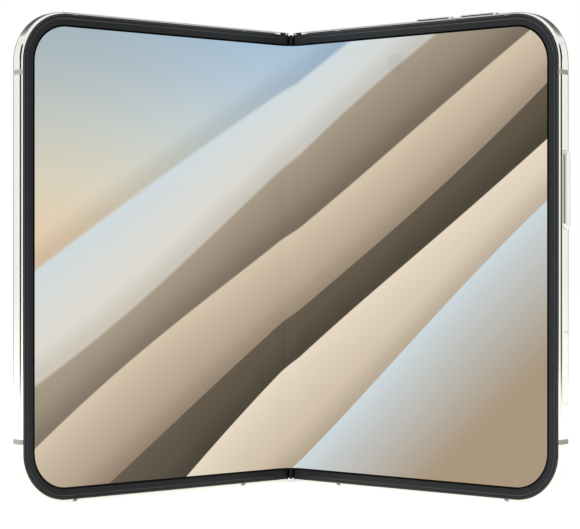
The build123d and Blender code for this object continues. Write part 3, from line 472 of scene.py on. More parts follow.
@dataclass(frozen=True)
class Finish:
    """A finish with grain, for metal, plastic and painted surfaces.

    Attributes:
        name: Name of the material.
        light: Colour code of the lighter grain.
        dark: Colour code of the darker grain.
        smooth: Roughness of the smoother grain.
        rough: Roughness of the rougher grain.
        metallic: 1 for metal.
        lay: How the grain lies.
        relief: Height of the grain in millimetres.
        coat: Weight of a clear coat.
        smear: Extra roughness in handled patches.
        specular: Strength of the plain reflection.
        slot: The record's material slot; not used.
    """

    name: str
    light: str
    dark: str
    smooth: float
    rough: float
    slot: str
    metallic: float = 0.0
    lay: Lay = Lay.FINE_EVEN
    relief: float = 0.002
    coat: float = 0.0
    smear: float = 0.0
    specular: float = 0.5

    def make(self, effects: dict[str, Effect], side: int = 1) -> bpy.types.Material:
        """Makes the material.

        Args:
            effects: The shared effects by name.
            side: 1 where the grain follows the right leaf, -1 for the left one.

        Returns:
            The material.
        """
        material = bpy.data.materials.new(self.name)
        material.use_nodes = True
        tree = Tree(material.node_tree)
        shader = material.node_tree.nodes["Principled BSDF"]
        grain = effects["grain"].place(tree, {
            "Stretch": [per_mm / MM for per_mm in self.lay.value], "Turn": (0, 0, side * FOLD_ANGLE),
            "Light": tone(self.light), "Dark": tone(self.dark), "Smooth": self.smooth, "Rough": self.rough})
        marks = effects["handling"].place(tree, {
            "Roughness": grain.outputs["Roughness"], "Smear": self.smear, "Height": grain.outputs["Height"],
            "Scratch": 0.5 if self.smear else 0.0})
        bump = tree.add("Bump", {"Height": marks.outputs["Height"], "Distance": self.relief * MM,
                                 "Strength": 0.5})
        tree.feed(shader.inputs["Base Color"], grain.outputs["Color"])
        tree.feed(shader.inputs["Roughness"], marks.outputs["Roughness"])
        tree.feed(shader.inputs["Normal"], bump.outputs["Normal"])
        for label, value in (("Metallic", self.metallic), ("Coat Weight", self.coat),
                             ("Coat Roughness", 0.06), ("Specular IOR Level", self.specular)):
            shader.inputs[label].default_value = value
        return material


FINISHES = {
    "polished_metal": Finish("polished_metal", "f3f1eb", "edeae3", 0.09, 0.15, "polished_metal", metallic=1,
                             lay=Lay.BRUSHED_UP, relief=0.0004, smear=0.05),
    "band": Finish("band_plastic", "b9b9b1", "acaca4", 0.36, 0.5, "band_plastic", relief=0.001),
    "trim": Finish("dark_trim", "303234", "2b2d2f", 0.34, 0.46, "dark_trim", relief=0.0015, specular=0.2),
    # Lighter colour on the roundings of the bezel's lip: a painted highlight.
    "trim_painted_highlight": Finish("dark_trim_painted_highlight", "535456", "48494b", 0.3, 0.4, "dark_trim", relief=0.001,
                        specular=0.4),
    # Near black on the bezel's walls beside the display and the frame: painted shade of the gaps.
    "trim_painted_shade": Finish("dark_trim_painted_shade", "060607", "020202", 0.5, 0.6, "dark_trim", specular=0.1),
    "web": Finish("spine_end", "141517", "0f1011", 0.5, 0.62, "black_plastic", relief=0.0015, specular=0.2),
    "spine": Finish("spine_metal", "c9c7c1", "bfbcb5", 0.16, 0.26, "hinge_steel", metallic=1,
                    lay=Lay.BRUSHED_UP, relief=0.0006, smear=0.06),
    "hinge_steel": Finish("hinge_steel", "b6b8ba", "989a9d", 0.24, 0.38, "hinge_steel", metallic=1,
                          lay=Lay.BRUSHED_OUT, relief=0.001),
    "spring_steel": Finish("spring_steel", "8f9296", "74777b", 0.2, 0.32, "spring_steel", metallic=1,
                           lay=Lay.BRUSHED_OUT),
    "gear_metal": Finish("gear_metal", "c4bda6", "a39a80", 0.26, 0.4, "gear_metal", metallic=1),
    "midplate": Finish("midplate_metal", "b4b6b8", "a5a7aa", 0.32, 0.45, "midplate_metal", metallic=1,
                       lay=Lay.BRUSHED_OUT),
    "foil": Finish("battery_foil", "3c3f44", "303236", 0.3, 0.5, "battery_foil", lay=Lay.EVEN, relief=0.01),
    "board": Finish("circuit_board", "12382c", "0d2a22", 0.3, 0.48, "board", lay=Lay.EVEN, relief=0.008,
                    coat=0.4),
    "shield": Finish("tin_shield", "c8cacb", "b1b3b5", 0.28, 0.42, "shield", metallic=1, lay=Lay.BRUSHED_OUT),
    "copper": Finish("coil_copper", "c67a4e", "8e4c2a", 0.26, 0.4, "copper", metallic=1, lay=Lay.EVEN),
    "magnet": Finish("magnet_nickel", "aeb0b0", "989a9b", 0.22, 0.34, "magnet", metallic=1),
    "black": Finish("black_plastic", "1a1b1d", "131415", 0.42, 0.56, "black_plastic"),
    "film": Finish("flex_film", "6e4a1e", "5a3a14", 0.3, 0.42, "flex_film", lay=Lay.BRUSHED_OUT),
    "panel": Finish("cover_panel", "0a0b0d", "060708", 0.16, 0.24, "panel_black", lay=Lay.CLOUDY),
    "pearl": Finish("back_pearl", "cfcdc7", "cbc8c2", 0.3, 0.4, "back_glass", lay=Lay.FINE_EVEN,
                    relief=0.0006, coat=0.2, smear=0.05),
    "plateau": Finish("plateau_pearl", "c9c6c0", "c4c1ba", 0.14, 0.22, "back_glass", lay=Lay.FINE_EVEN,
                      relief=0.0004, coat=0.5, smear=0.06),
    "cover": Finish("cover_black_glass", "08090b", "050607", 0.05, 0.1, "cover_glass", lay=Lay.CLOUDY,
                    relief=0.0002, smear=0.06, specular=0.3),
    "gold": Finish("contact_gold", "d9b25c", "c79c44", 0.2, 0.32, "gear_metal", metallic=1),
    "gauze": Finish("sound_gauze", "34353a", "101113", 0.5, 0.7, "black_plastic", lay=Lay.FINE_EVEN,
                    relief=0.03),
    "barrel": Finish("lens_barrel", "0d0e10", "08090a", 0.3, 0.42, "black_plastic", lay=Lay.EVEN,
                     specular=0.25),
}


class Wardrobe:
    """Makes each finish once and dresses nodes and pieces in it."""

    def __init__(self) -> None:
        """Builds the shared effects."""
        self.effects = {"grain": grain_effect(), "handling": handling_effect(), "ribbon": ribbon_effect()}
        self.made: dict[str, bpy.types.Material] = {}

    def get(self, name: str) -> bpy.types.Material:
        """Gives a material by its finish's name, making it the first time."""
        if name not in self.made:
            self.made[name] = FINISHES[name].make(self.effects)
        return self.made[name]

    def dress(self, node: bpy.types.Object, name: str) -> None:
        """Gives every material slot of a node one finish.

        Args:
            node: A node of the frame.
            name: Name of the finish.
        """
        for slot in node.material_slots:
            slot.link = "OBJECT"
            slot.material = self.get(name)
        LOG.info("dressed %s in %s", node.name, name)


# ------------------------------------------------------------------------------------ display
@dataclass(frozen=True)
class Ribbon:
    """Sizes in millimetres and colours of one ribbon of the display's picture."""

    base: float
    slope: float
    swing: float
    length: float
    phase: float
    curl: float
    softness: float
    fade: float
    edge: str
    deep: str


@dataclass
class Display:
    """The inner display: a flat stretch on each leaf and two halves of the bend between them."""

    inset: float = 3.4
    thickness: float = 0.6
    border: float = 0.35
    fold_reach: float = 7.0
    fold_thickness: float = 0.5
    fold_radius: float = 5.0
    fold_steps: int = 30
    blend_reach: float = 4.2
    camera_s: float = 35.3
    camera_z: float = 49.8
    camera_radius: float = 2.55
    ribbons: tuple[Ribbon, ...] = (
        Ribbon(44.0, 0.62, 3.0, 330, 2.2, 0.0, 1.6, 46, "cfdbe0", "ead9c1"),
        Ribbon(24.0, 0.66, 3.0, 235, 0.5, 1.0, 1.4, 26, "ab9e8b", "766a5a"),
        Ribbon(6.0, 0.70, 3.0, 250, 2.5, 1.2, 0.7, 34, "d9c8b0", "8f7c67"),
        Ribbon(-14.0, 0.74, 3.0, 270, 4.3, 1.2, 0.4, 40, "645a4c", "36312a"),
        Ribbon(-32.0, 0.78, 3.0, 260, 1.2, 1.0, 0.4, 46, "e9dbc6", "b09d84"),
        Ribbon(-54.0, 0.82, 3.0, 240, 5.6, 0.8, 0.4, 40, "cfdbe0", "a8957c"),
    )

    @property
    def half_height(self) -> float:
        """Half of the display's height."""
        return MID_Z - self.inset

    @property
    def bend_end(self) -> float:
        """Distance along the leaf at which the bend runs into the flat stretch."""
        corner = PIN_S - (PIN_S - PIN_DEPTH * sin(FOLD_ANGLE)) / cos(FOLD_ANGLE)
        return corner + self.fold_radius * tan(FOLD_ANGLE)

    @property
    def flat_shift(self) -> float:
        """What the bend saves in length against the distance along the leaf."""
        return self.bend_end - self.fold_radius * FOLD_ANGLE

    def picture(self, wardrobe: Wardrobe) -> bpy.types.Material:
        """Makes the lit picture: soft diagonal ribbons over a pale ground.

        Args:
            wardrobe: Holds the shared effects.

        Returns:
            The material.
        """
        material = bpy.data.materials.new("display_picture")
        material.use_nodes = True
        tree = Tree(material.node_tree)
        shader = material.node_tree.nodes["Principled BSDF"]
        flat = tree.add("UVMap", uv_map=FLAT_MAP).outputs[0]
        centred = tree.add("VectorMath", {0: flat, 1: (-0.5, -0.5, 0)}, operation="ADD").outputs[0]
        place = tree.add("VectorMath", {0: centred, "Scale": FLAT_SPAN}, operation="SCALE").outputs[0]
        split = tree.add("SeparateXYZ", {0: place}).outputs
        bow = tree.math("MULTIPLY_ADD", split[0], 0.03, split[1])
        ground = tree.add("ValToRGB", {"Fac": tree.span(bow, -8.0, 58.0, 0.0, 1.0)})
        stops = ground.color_ramp.elements
        stops[0].color, stops[1].color = tone("efdcc4"), tone("a6c1d7")
        for spot, code in ((0.2, "e8decb"), (0.36, "dfe0d5"), (0.58, "cbd8db"), (0.82, "b4c9d9")):
            stops.new(spot).color = tone(code)
        warm = tree.span(split[0], -84.0, 10.0, 1.0, 0.0, smooth=True)
        color = tree.mix(tree.math("MULTIPLY", warm, 0.45), ground.outputs[0], tone("f0d5b0"), "MULTIPLY")
        for ribbon in self.ribbons:
            node = wardrobe.effects["ribbon"].place(tree, {
                "Under": color, "Place": place, "Base": ribbon.base, "Slope": ribbon.slope,
                "Swing": ribbon.swing, "Length": ribbon.length, "Phase": ribbon.phase, "Curl": ribbon.curl,
                "Softness": ribbon.softness, "Fade": ribbon.fade, "Edge": tone(ribbon.edge),
                "Deep": tone(ribbon.deep)})
            color = node.outputs["Color"]
        # The camera under the display shows as a faint disc.
        middle = (self.camera_s - self.flat_shift, self.camera_z, 0)
        away = tree.add("VectorMath", {0: place, 1: middle}, operation="DISTANCE").outputs["Value"]
        disc = tree.span(away, self.camera_radius - 0.12, self.camera_radius + 0.12, 0.1, 0.0, smooth=True)
        color = tree.mix(disc, color, tone("5f7386"))
        tree.feed(shader.inputs["Emission Color"], color)
        marks = wardrobe.effects["handling"].place(tree, {"Roughness": 0.12, "Smear": 0.08})
        tree.feed(shader.inputs["Roughness"], marks.outputs["Roughness"])
        shader.inputs["Base Color"].default_value = (0.0, 0.0, 0.0, 1)
        shader.inputs["Emission Strength"].default_value = 1.0
        shader.inputs["Specular IOR Level"].default_value = 0.08
        return material

    def edge(self, wardrobe: Wardrobe) -> bpy.types.Material:
        """Makes the black border and back of the display."""
        finish = Finish("display_border", "030303", "000000", 0.3, 0.4, "display", lay=Lay.CLOUDY,
                        specular=0.1)
        return finish.make(wardrobe.effects)

    def flat_stretch(self, leaf: LeafPlace, materials: Sequence[bpy.types.Material]) -> None:
        """Builds a leaf's flat stretch.

        Args:
            leaf: The leaf.
            materials: The picture and the border.
        """
        solid = Solid()
        stations = outline_stations([self.fold_reach])
        rings = ((self.inset, -self.thickness), (self.inset, 0.0), (self.inset + self.border, 0.0))
        for inset, n in rings:
            for station in stations:
                s, z = station.spot(inset)
                solid.corners.append(leaf.at(s, z, n))
                solid.flat.append((leaf.side * (s - self.flat_shift), z))
        size = len(stations)
        for k in range(len(rings) - 1):
            for i in range(size - 1):
                a = k * size + i
                solid.face((a, a + 1, a + 1 + size, a + size), 1)
        last = size - 1
        solid.face(range(2 * size, 3 * size), 0)
        solid.face(range(size), 1)
        solid.face((0, size, 2 * size, 2 * size + last, size + last, last), 1)
        piece = solid.piece(f"{leaf.name}_display_picture", materials)
        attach(piece, leaf.body)
        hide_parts(f"{leaf.name}_display")

    def bend_stations(self, end: float, steps: int) -> list[tuple[float, float, float]]:
        """Walks the bend from the fold line outward.

        Args:
            end: Distance along the leaf at which the sheet ends.
            steps: Steps in the round part.

        Returns:
            For each station the turn about the bend's middle, the distance along the leaf past the round
            part, and the distance along the sheet.
        """
        turns = [FOLD_ANGLE * i / steps for i in range(steps + 1)]
        walk = [(turn, 0.0, turn * self.fold_radius) for turn in turns]
        length = end - self.bend_end
        parts = 8
        for i in range(1, parts + 1):
            step = length * i / parts
            walk.append((FOLD_ANGLE, step, FOLD_ANGLE * self.fold_radius + step))
        return walk

    def bent_place(self, leaf: LeafPlace, turn: float, step: float, z: float, depth: float) -> Vector:
        """Gives a place on the bent sheet.

        Args:
            leaf: The leaf that the sheet bends towards.
            turn: Turn about the bend's middle.
            step: Distance past the round part.
            z: Height from mid-height.
            depth: Distance behind the display surface.

        Returns:
            The place in metres.
        """
        if step > 0:
            return leaf.at(self.bend_end + step, z, -depth)
        edge = leaf.at(self.bend_end, z, 0)
        middle = edge + leaf.front * self.fold_radius * MM
        reach = (self.fold_radius + depth) * MM
        return Vector((leaf.side * sin(turn) * reach, middle.y + cos(turn) * reach, middle.z))

    def half_sheet(self, leaf: LeafPlace, name: str, half_height: float, border: float, near: float,
                   far: float, end: float, materials: Sequence[bpy.types.Material]) -> bpy.types.Object:
        """Builds half of a sheet that bends across the fold.

        Args:
            leaf: The leaf of this half.
            name: Name of the piece.
            half_height: Half of the sheet's height.
            border: Width of the unlit border, 0 for none.
            near: Front of the sheet, behind the display surface.
            far: Back of the sheet, behind the display surface.
            end: Distance along the leaf at which the sheet ends.
            materials: Material of the lit face, then of the rest.

        Returns:
            The piece, bent in shape from the fold line onto the leaf.
        """
        solid = Solid()
        rows = [(-half_height, near), (border - half_height, near), (half_height - border, near),
                (half_height, near), (half_height, far), (-half_height, far)]
        loops = []
        for turn, step, along in self.bend_stations(end, self.fold_steps):
            loops.append([self.bent_place(leaf, turn, step, z, depth) for z, depth in rows])
            solid.flat.extend((leaf.side * along, z) for z, depth in rows)
        solid.skin(loops, finish=lambda i: 0 if i == 1 else 1)
        piece = solid.piece(name, materials, sharp=60)
        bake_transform(piece)
        return piece

    def build(self, leaves: Sequence[LeafPlace], wardrobe: Wardrobe) -> None:
        """Builds the display and the flexible cable behind it.

        Args:
            leaves: Both leaves.
            wardrobe: Makes the finishes.
        """
        materials = [self.picture(wardrobe), self.edge(wardrobe)]
        film = [wardrobe.get("film"), wardrobe.get("film")]
        for leaf in leaves:
            self.flat_stretch(leaf, materials)
            fold = self.half_sheet(leaf, f"{leaf.name}_display_bend", self.half_height, self.border, 0.0,
                                   self.fold_thickness, self.fold_reach, materials)
            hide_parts("display_fold")
            cable = self.half_sheet(leaf, f"{leaf.name}_cable_bend", 6.0, 0.5, 0.7, 0.85, 10.5, film)
            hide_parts("fold_cable")
            LOG.info("built the %s half of the display", leaf.name)


# ------------------------------------------------------------------------------------ bezel and hinge caps
@dataclass
class Trim:
    """The dark trim round the display: a bezel on each leaf, and the hinge caps beside the fold."""

    seam: float = 6.55
    end_chamfer: float = 0.22
    cap_near: float = 57.0
    cap_far: float = 59.6
    cap_dip: float = 0.35
    cap_thickness: float = 0.25
    cap_reach: float = 1.1
    cap_gap: float = 0.05
    skirt_turn: float = radians(118)
    skirt_thickness: float = 0.035
    profile: tuple[tuple[float, float], ...] = (
        (0.70, -0.60), (0.70, 0.08), (0.73, 0.15), (0.80, 0.19), (0.88, 0.20), (1.50, 0.20), (1.60, 0.19),
        (1.67, 0.15), (1.72, 0.10), (1.80, 0.07), (1.90, 0.06), (3.24, 0.06), (3.31, 0.04), (3.35, -0.02),
        (3.35, -0.60),
    )
    # Finish 1 is a painted highlight on the lip's roundings; finish 2 is painted shade on the walls beside
    # the display and the frame.
    band_finish: dict[int, int] = field(default_factory=lambda: {
        0: 2, 1: 2, 2: 1, 3: 1, 6: 1, 7: 1, 8: 1, 11: 2, 12: 2, 13: 2, 14: 2})

    def bezel(self, leaf: LeafPlace, wardrobe: Wardrobe) -> None:
        """Sweeps the bezel's profile round the leaf's outline.

        Args:
            leaf: The leaf.
            wardrobe: Makes the finishes.
        """
        solid = Solid()
        stations = outline_stations([self.seam, self.seam + self.end_chamfer], 32)
        loops = []
        for i, station in enumerate(stations):
            drop = self.end_chamfer if i in (0, len(stations) - 1) else 0.0
            loop = []
            for inset, n in self.profile:
                s, z = station.spot(inset)
                loop.append(leaf.at(s, z, n - drop if n > -0.1 else n))
            loops.append(loop)
        solid.skin(loops, finish=lambda i: self.band_finish.get(i, 0))
        # Its own dark plastic, then the painted highlight and the painted shade.
        names = ("trim", "trim_painted_highlight", "trim_painted_shade")
        piece = solid.piece(f"{leaf.name}_bezel_trim", [wardrobe.get(name) for name in names], sharp=50)
        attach(piece, leaf.body)
        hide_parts(f"{leaf.name}_bezel")

    def caps(self, leaf: LeafPlace, wardrobe: Wardrobe) -> None:
        """Builds the two hinge caps of a leaf, round about the pin.

        Args:
            leaf: The leaf.
            wardrobe: Makes the finishes.
        """
        solid = Solid()
        outer = PIN_DEPTH - self.cap_dip
        inner = outer - self.cap_thickness
        end = self.seam - self.cap_gap
        steps = 16
        for low, high in ((self.cap_near, self.cap_far), (-self.cap_far, -self.cap_near)):
            outline = [(end, outer)]
            outer_turn, inner_turn = self.skirt_turn, asin(self.cap_reach / inner)
            for i in range(steps + 1):
                turn = outer_turn * i / steps
                outline.append((PIN_S - outer * sin(turn), outer * cos(turn)))
            skirt = outer - self.skirt_thickness
            for i in range(steps, -1, -1):
                turn = inner_turn + (outer_turn - inner_turn) * i / steps
                outline.append((PIN_S - skirt * sin(turn), skirt * cos(turn)))
            for i in range(steps, -1, -1):
                turn = inner_turn * i / steps
                outline.append((PIN_S - inner * sin(turn), inner * cos(turn)))
            outline.append((end, inner))
            solid.skin([[leaf.at(s, z, n - PIN_DEPTH) for s, n in outline] for z in (low, high)])
        piece = solid.piece(f"{leaf.name}_hinge_cap_trim", [wardrobe.get("trim")])
        round_off(piece, 0.015, 2)
        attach(piece, leaf.body)
        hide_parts(f"{leaf.name}_hinge_caps")

    def build(self, leaves: Sequence[LeafPlace], wardrobe: Wardrobe) -> None:
        """Builds the trim of both leaves.

        Args:
            leaves: Both leaves.
            wardrobe: Makes the finishes.
        """
        for leaf in leaves:
            self.bezel(leaf, wardrobe)
            self.caps(leaf, wardrobe)
            LOG.info("built the %s trim", leaf.name)


# ------------------------------------------------------------------------------------ spine ends and openings
@dataclass
class SpineEnds:
    """The dark webs that close the spine at the top and the bottom, flared behind the pins."""

    low: float = 56.85
    high: float = 59.55
    half_width: float = 0.44
    front: float = 1.58
    back: float = 1.62
    clearance: float = 0.12
    nose: float = 2.05
    steps: int = 10

    def build(self, leaf: LeafPlace, wardrobe: Wardrobe) -> None:
        """Builds both webs.

        Args:
            leaf: Either leaf; its pin gives the webs' depth.
            wardrobe: Makes the finishes.
        """
        depths = [self.back * i / self.steps for i in range(self.steps + 1)]
        reach = self.nose + self.clearance
        side = [(PIN_S - (reach * reach - d * d) ** 0.5, d) for d in depths]
        half = [(self.half_width, -self.front), (self.half_width, 0.0)] + side[1:]
        outline = half + [(-x, d) for x, d in reversed(half)]
        solid = Solid()
        for low, high in ((self.low, self.high), (-self.high, -self.low)):
            solid.skin([[Vector((x * MM, leaf.pin.y + d * MM, leaf.pin.z + z * MM)) for x, d in outline]
                        for z in (low, high)])
        piece = solid.piece("spine_end_webs", [wardrobe.get("web")])
        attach(piece, "spine")
        LOG.info("built the spine's end webs")


@dataclass
class Openings:
    """What is seen inside the openings of the walls: gauze behind the sound holes, and port contacts."""

    wall: float = 1.6
    gauze_gap: float = 0.02
    gauze_thickness: float = 0.05
    sound_s: tuple[float, float] = (LEAF_WIDTH / 2, 59.935)
    sound_length: float = 12.2
    sound_width: float = 1.3
    slot_length: float = 10.4
    slot_width: float = 1.0
    contacts: int = 12
    contact_pitch: float = 0.5
    contact_width: float = 0.27
    contact_depth: tuple[float, float] = (1.45, 4.2)
    contact_rise: float = 0.015
    tongue_thickness: float = 0.7

    @staticmethod
    def block(solid: Solid, leaf: LeafPlace, s: tuple[float, float], z: tuple[float, float],
              n: tuple[float, float]) -> None:
        """Adds a small flat block, given by its ranges on the leaf."""
        solid.skin([[leaf.at(s[0], height, n[0]), leaf.at(s[1], height, n[0]), leaf.at(s[1], height, n[1]),
                     leaf.at(s[0], height, n[1])] for height in z])

    def gauze(self, leaf: LeafPlace, name: str, middle: float, up: int, length: float, width: float,
              wardrobe: Wardrobe) -> None:
        """Stretches gauze behind an opening of the top or bottom wall.

        Args:
            leaf: The leaf.
            name: Name of the piece.
            middle: Middle of the opening along the leaf.
            up: 1 for the top wall, -1 for the bottom wall.
            length: Length of the gauze.
            width: Width of the gauze.
            wardrobe: Makes the finishes.
        """
        solid = Solid()
        near = up * (MID_Z - self.wall - self.gauze_gap)
        self.block(solid, leaf, (middle - length / 2, middle + length / 2),
                   (near, near - up * self.gauze_thickness),
                   (-PIN_DEPTH - width / 2, -PIN_DEPTH + width / 2))
        piece = solid.piece(name, [wardrobe.get("gauze")])
        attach(piece, leaf.body)

    def port_contacts(self, leaf: LeafPlace, wardrobe: Wardrobe) -> None:
        """Lays the gilt contacts on both faces of the port's tongue.

        Args:
            leaf: The right leaf.
            wardrobe: Makes the finishes.
        """
        solid = Solid()
        start = LEAF_WIDTH / 2 - (self.contacts - 1) * self.contact_pitch / 2
        depth = tuple(inside - MID_Z for inside in self.contact_depth)
        for i in range(self.contacts):
            s = start + i * self.contact_pitch
            for face in (-1, 1):
                level = -PIN_DEPTH + face * self.tongue_thickness / 2
                self.block(solid, leaf, (s - self.contact_width / 2, s + self.contact_width / 2), depth,
                           (level, level + face * self.contact_rise))
        piece = solid.piece("port_contacts", [wardrobe.get("gold")])
        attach(piece, leaf.body)

    def build(self, leaves: Sequence[LeafPlace], wardrobe: Wardrobe) -> None:
        """Fills the openings of both leaves.

        Args:
            leaves: Both leaves.
            wardrobe: Makes the finishes.
        """
        for leaf, middle in zip(leaves, self.sound_s):
            self.gauze(leaf, f"{leaf.name}_sound_gauze", middle, -1, self.sound_length, self.sound_width,
                       wardrobe)
        self.gauze(leaves[0], "earpiece_gauze", LEAF_WIDTH / 2, 1, self.slot_length, self.slot_width,
                   wardrobe)
        self.port_contacts(leaves[1], wardrobe)
        LOG.info("filled the openings")


# ------------------------------------------------------------------------------------ metal and inner works
@dataclass
class Works:
    """The nodes of the frame that keep their shape, with the finish of each."""

    finishes: dict[str, tuple[str, ...]] = field(default_factory=lambda: {
        "polished_metal": ("left_frame", "right_frame", "power_button", "shutter_button",
                           "volume_up_button", "volume_down_button"),
        "band": ("left_antenna_bands", "right_antenna_bands"),
        "web": ("hinge_end_caps",),
        "spine": ("spine_cover",),
        "hinge_steel": ("hinge_plates", "hinge_pins", "cam_followers", "left_hinge_screws",
                        "right_hinge_screws", "usb_c_shell"),
        "spring_steel": ("hinge_springs",),
        "gear_metal": ("left_hinge_arms", "right_hinge_arms", "idler_upper_left", "idler_upper_right",
                       "idler_lower_left", "idler_lower_right"),
        "midplate": ("left_midplate", "right_midplate"),
        "foil": ("left_battery", "right_battery"),
        "board": ("sub_board", "main_board"),
        "shield": ("board_shields", "button_switches"),
        "copper": ("charging_coil",),
        "magnet": ("left_magnets", "right_magnets"),
        "black": ("haptic_motor", "earpiece", "loudspeaker", "inner_camera", "usb_c_tongue"),
        "panel": ("cover_display",),
    })

    def build(self, nodes: dict[str, bpy.types.Object], wardrobe: Wardrobe) -> None:
        """Dresses the nodes.

        Args:
            nodes: The frame's nodes by name.
            wardrobe: Makes the finishes.
        """
        for finish, names in self.finishes.items():
            for name in names:
                wardrobe.dress(nodes[name], finish)


# ------------------------------------------------------------------------------------ backs and cameras
@dataclass
class Backs:
    """The glass backs, the camera plateau and what sits in it."""

    rail_end: float = 4.6
    inset: float = 1.15
    thickness: float = 0.6
    edge: float = 0.16
    plateau_s: float = 66.0
    plateau_top: float = 6.3
    plateau_width: float = 23.0
    plateau_height: float = 42.0
    plateau_thickness: float = 1.7
    lens_spacing: float = 18.5
    bore: float = 5.6
    ring_outer: float = 7.2
    ring_height: float = 0.8
    lens_radius: float = 5.45
    flash_radius: float = 1.7
    flash_rim: float = 0.06
    groove_pitch: float = 0.1
    groove_depth: float = 0.05
    grooves: int = 14
    axis: float = 0.05
    barrel_back: float = -1.3
    # Radius and depth of the steps inside the barrel, from its mouth inward, then of its front element.
    barrel_steps: tuple[tuple[float, float], ...] = (
        (4.9, 0.32), (4.75, 0.55), (4.2, 0.6), (4.1, 0.95), (3.55, 1.0), (3.45, 1.35), (2.95, 1.4),
        (2.85, 1.7), (2.3, 1.75), (2.2, 1.52), (1.5, 1.36), (0.7, 1.28), (0.05, 1.26),
    )

    @property
    def plateau_level(self) -> float:
        """The plateau's outer face."""
        return -LEAF_THICKNESS - self.plateau_thickness

    @property
    def lens_heights(self) -> tuple[float, float]:
        """Heights of the two lenses."""
        top = MID_Z - self.plateau_top - self.plateau_width / 2
        return top, top - self.lens_spacing

    def plate_loop(self) -> list[tuple[float, float]]:
        """Gives the outline of a back glass."""
        start = self.rail_end + 0.05
        return [station.spot(self.inset) for station in outline_stations([start], 24)]

    def plate(self, leaf: LeafPlace, name: str, loops: Sequence[Sequence[tuple[float, float]]],
              back: float, thickness: float, edge: float, material: bpy.types.Material) -> bpy.types.Object:
        """Builds a flat plate with holes and rounded edges.

        Args:
            leaf: The leaf that carries it.
            name: Name of the piece.
            loops: The outer outline, then the holes, as s and z.
            back: The plate's outer face.
            thickness: Thickness of the plate.
            edge: Radius of its edges.
            material: Its material.

        Returns:
            The piece.
        """
        curve = bpy.data.curves.new(name + "_outline", "CURVE")
        curve.dimensions = "2D"
        curve.fill_mode = "BOTH"
        curve.extrude = (thickness / 2 - edge) * MM
        curve.bevel_depth = edge * MM
        curve.bevel_resolution = 2
        curve.offset = -edge * MM
        for loop in loops:
            spline = curve.splines.new("POLY")
            spline.points.add(len(loop) - 1)
            for point, (s, z) in zip(spline.points, loop):
                point.co = (s * MM, z * MM, 0, 1)
            spline.use_cyclic_u = True
        shape = bpy.data.objects.new(name + "_outline", curve)
        bpy.context.scene.collection.objects.link(shape)
        bpy.context.view_layer.update()
        flat = bpy.data.meshes.new_from_object(shape.evaluated_get(bpy.context.evaluated_depsgraph_get()))
        solid = Solid()
        for vertex in flat.vertices:
            s, z, n = vertex.co / MM
            solid.corners.append(leaf.at(s, z, back + thickness / 2 + n))
        for polygon in flat.polygons:
            solid.face(polygon.vertices)
        bpy.data.objects.remove(shape)
        bpy.data.curves.remove(curve)
        bpy.data.meshes.remove(flat)
        plate = solid.piece(name, [material], sharp=50)
        flat_normals = plate.modifiers.new("flat_normals", "WEIGHTED_NORMAL")
        flat_normals.keep_sharp = True
        return plate

    @staticmethod
    def circle(s: float, z: float, radius: float, steps: int = 64) -> list[tuple[float, float]]:
        """Gives the points of a circle."""
        turns = [2 * pi * i / steps for i in range(steps)]
        return [(s + radius * cos(t), z + radius * sin(t)) for t in turns]

    def camera_set(self, leaf: LeafPlace, wardrobe: Wardrobe) -> None:
        """Builds the rings, the glass and the inner rings of both lenses, and the flash.

        Args:
            leaf: The leaf that carries the plateau.
            wardrobe: Makes the finishes.
        """
        level = self.plateau_level
        rings, barrels, glasses = Solid(), Solid(), Solid()
        top = level - self.ring_height
        for z in self.lens_heights:
            rings.turned(leaf.at, self.plateau_s, z, (
                (self.bore, level), (self.bore, top + 0.42), (self.bore + 0.16, top + 0.12),
                (self.bore + 0.3, top + 0.03), (self.bore + 0.45, top), (self.ring_outer - 0.5, top),
                (self.ring_outer - 0.3, top + 0.04), (self.ring_outer - 0.12, top + 0.14),
                (self.ring_outer - 0.03, top + 0.3), (self.ring_outer, top + 0.45),
                (self.ring_outer, level)), 96)
            barrels.turned(leaf.at, self.plateau_s, z, (
                (self.axis, self.barrel_back), (self.lens_radius, self.barrel_back),
                (self.lens_radius, level + self.barrel_steps[0][1]),
                *((radius, level + depth) for radius, depth in self.barrel_steps)), 96, ring=False)
            glasses.turned(leaf.at, self.plateau_s, z, (
                (self.axis, level + 0.25), (self.lens_radius, level + 0.25), (self.lens_radius, level - 0.18),
                (self.lens_radius - 0.1, level - 0.27), (self.lens_radius - 0.25, level - 0.3),
                (self.axis, level - 0.3)), 96, ring=False)
        made = (
            (rings.piece("camera_trim_rings", [wardrobe.get("polished_metal")]), "camera_rings",
             "polished_metal"),
            (barrels.piece("camera_barrels", [self.barrel_material(wardrobe)]), "camera_modules",
             "black_plastic"),
            (glasses.piece("camera_glasses", [self.lens_glass(wardrobe)]), "camera_lenses", "lens"),
        )
        for piece, node, slot in made:
            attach(piece, leaf.body)
            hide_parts(node)
        flash = Solid()
        s, z = self.flash_spot()
        grooves = [(r * self.groove_pitch, level + 0.04 + self.groove_depth * (r % 2))
                   for r in range(self.grooves, 0, -1)]
        flash.turned(leaf.at, s, z, (
            (self.axis, level + 0.5), (self.flash_radius, level + 0.5), (self.flash_radius, level + 0.08),
            (self.flash_radius - self.flash_rim, level + 0.02), *grooves, (self.axis, level + 0.04)),
            64, ring=False)
        window = flash.piece("flash_lens", [self.flash_material(wardrobe)])
        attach(window, leaf.body)
        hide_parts("flash_window")
        LOG.info("built the cameras and the flash")

    def flash_spot(self) -> tuple[float, float]:
        """Gives the flash's s and z."""
        middle = MID_Z - self.plateau_top - self.plateau_height / 2
        return (self.plateau_s + self.plateau_width / 2 - self.ring_outer / 2,
                middle - self.plateau_height / 2 + self.ring_outer / 2 + self.flash_radius / 2)

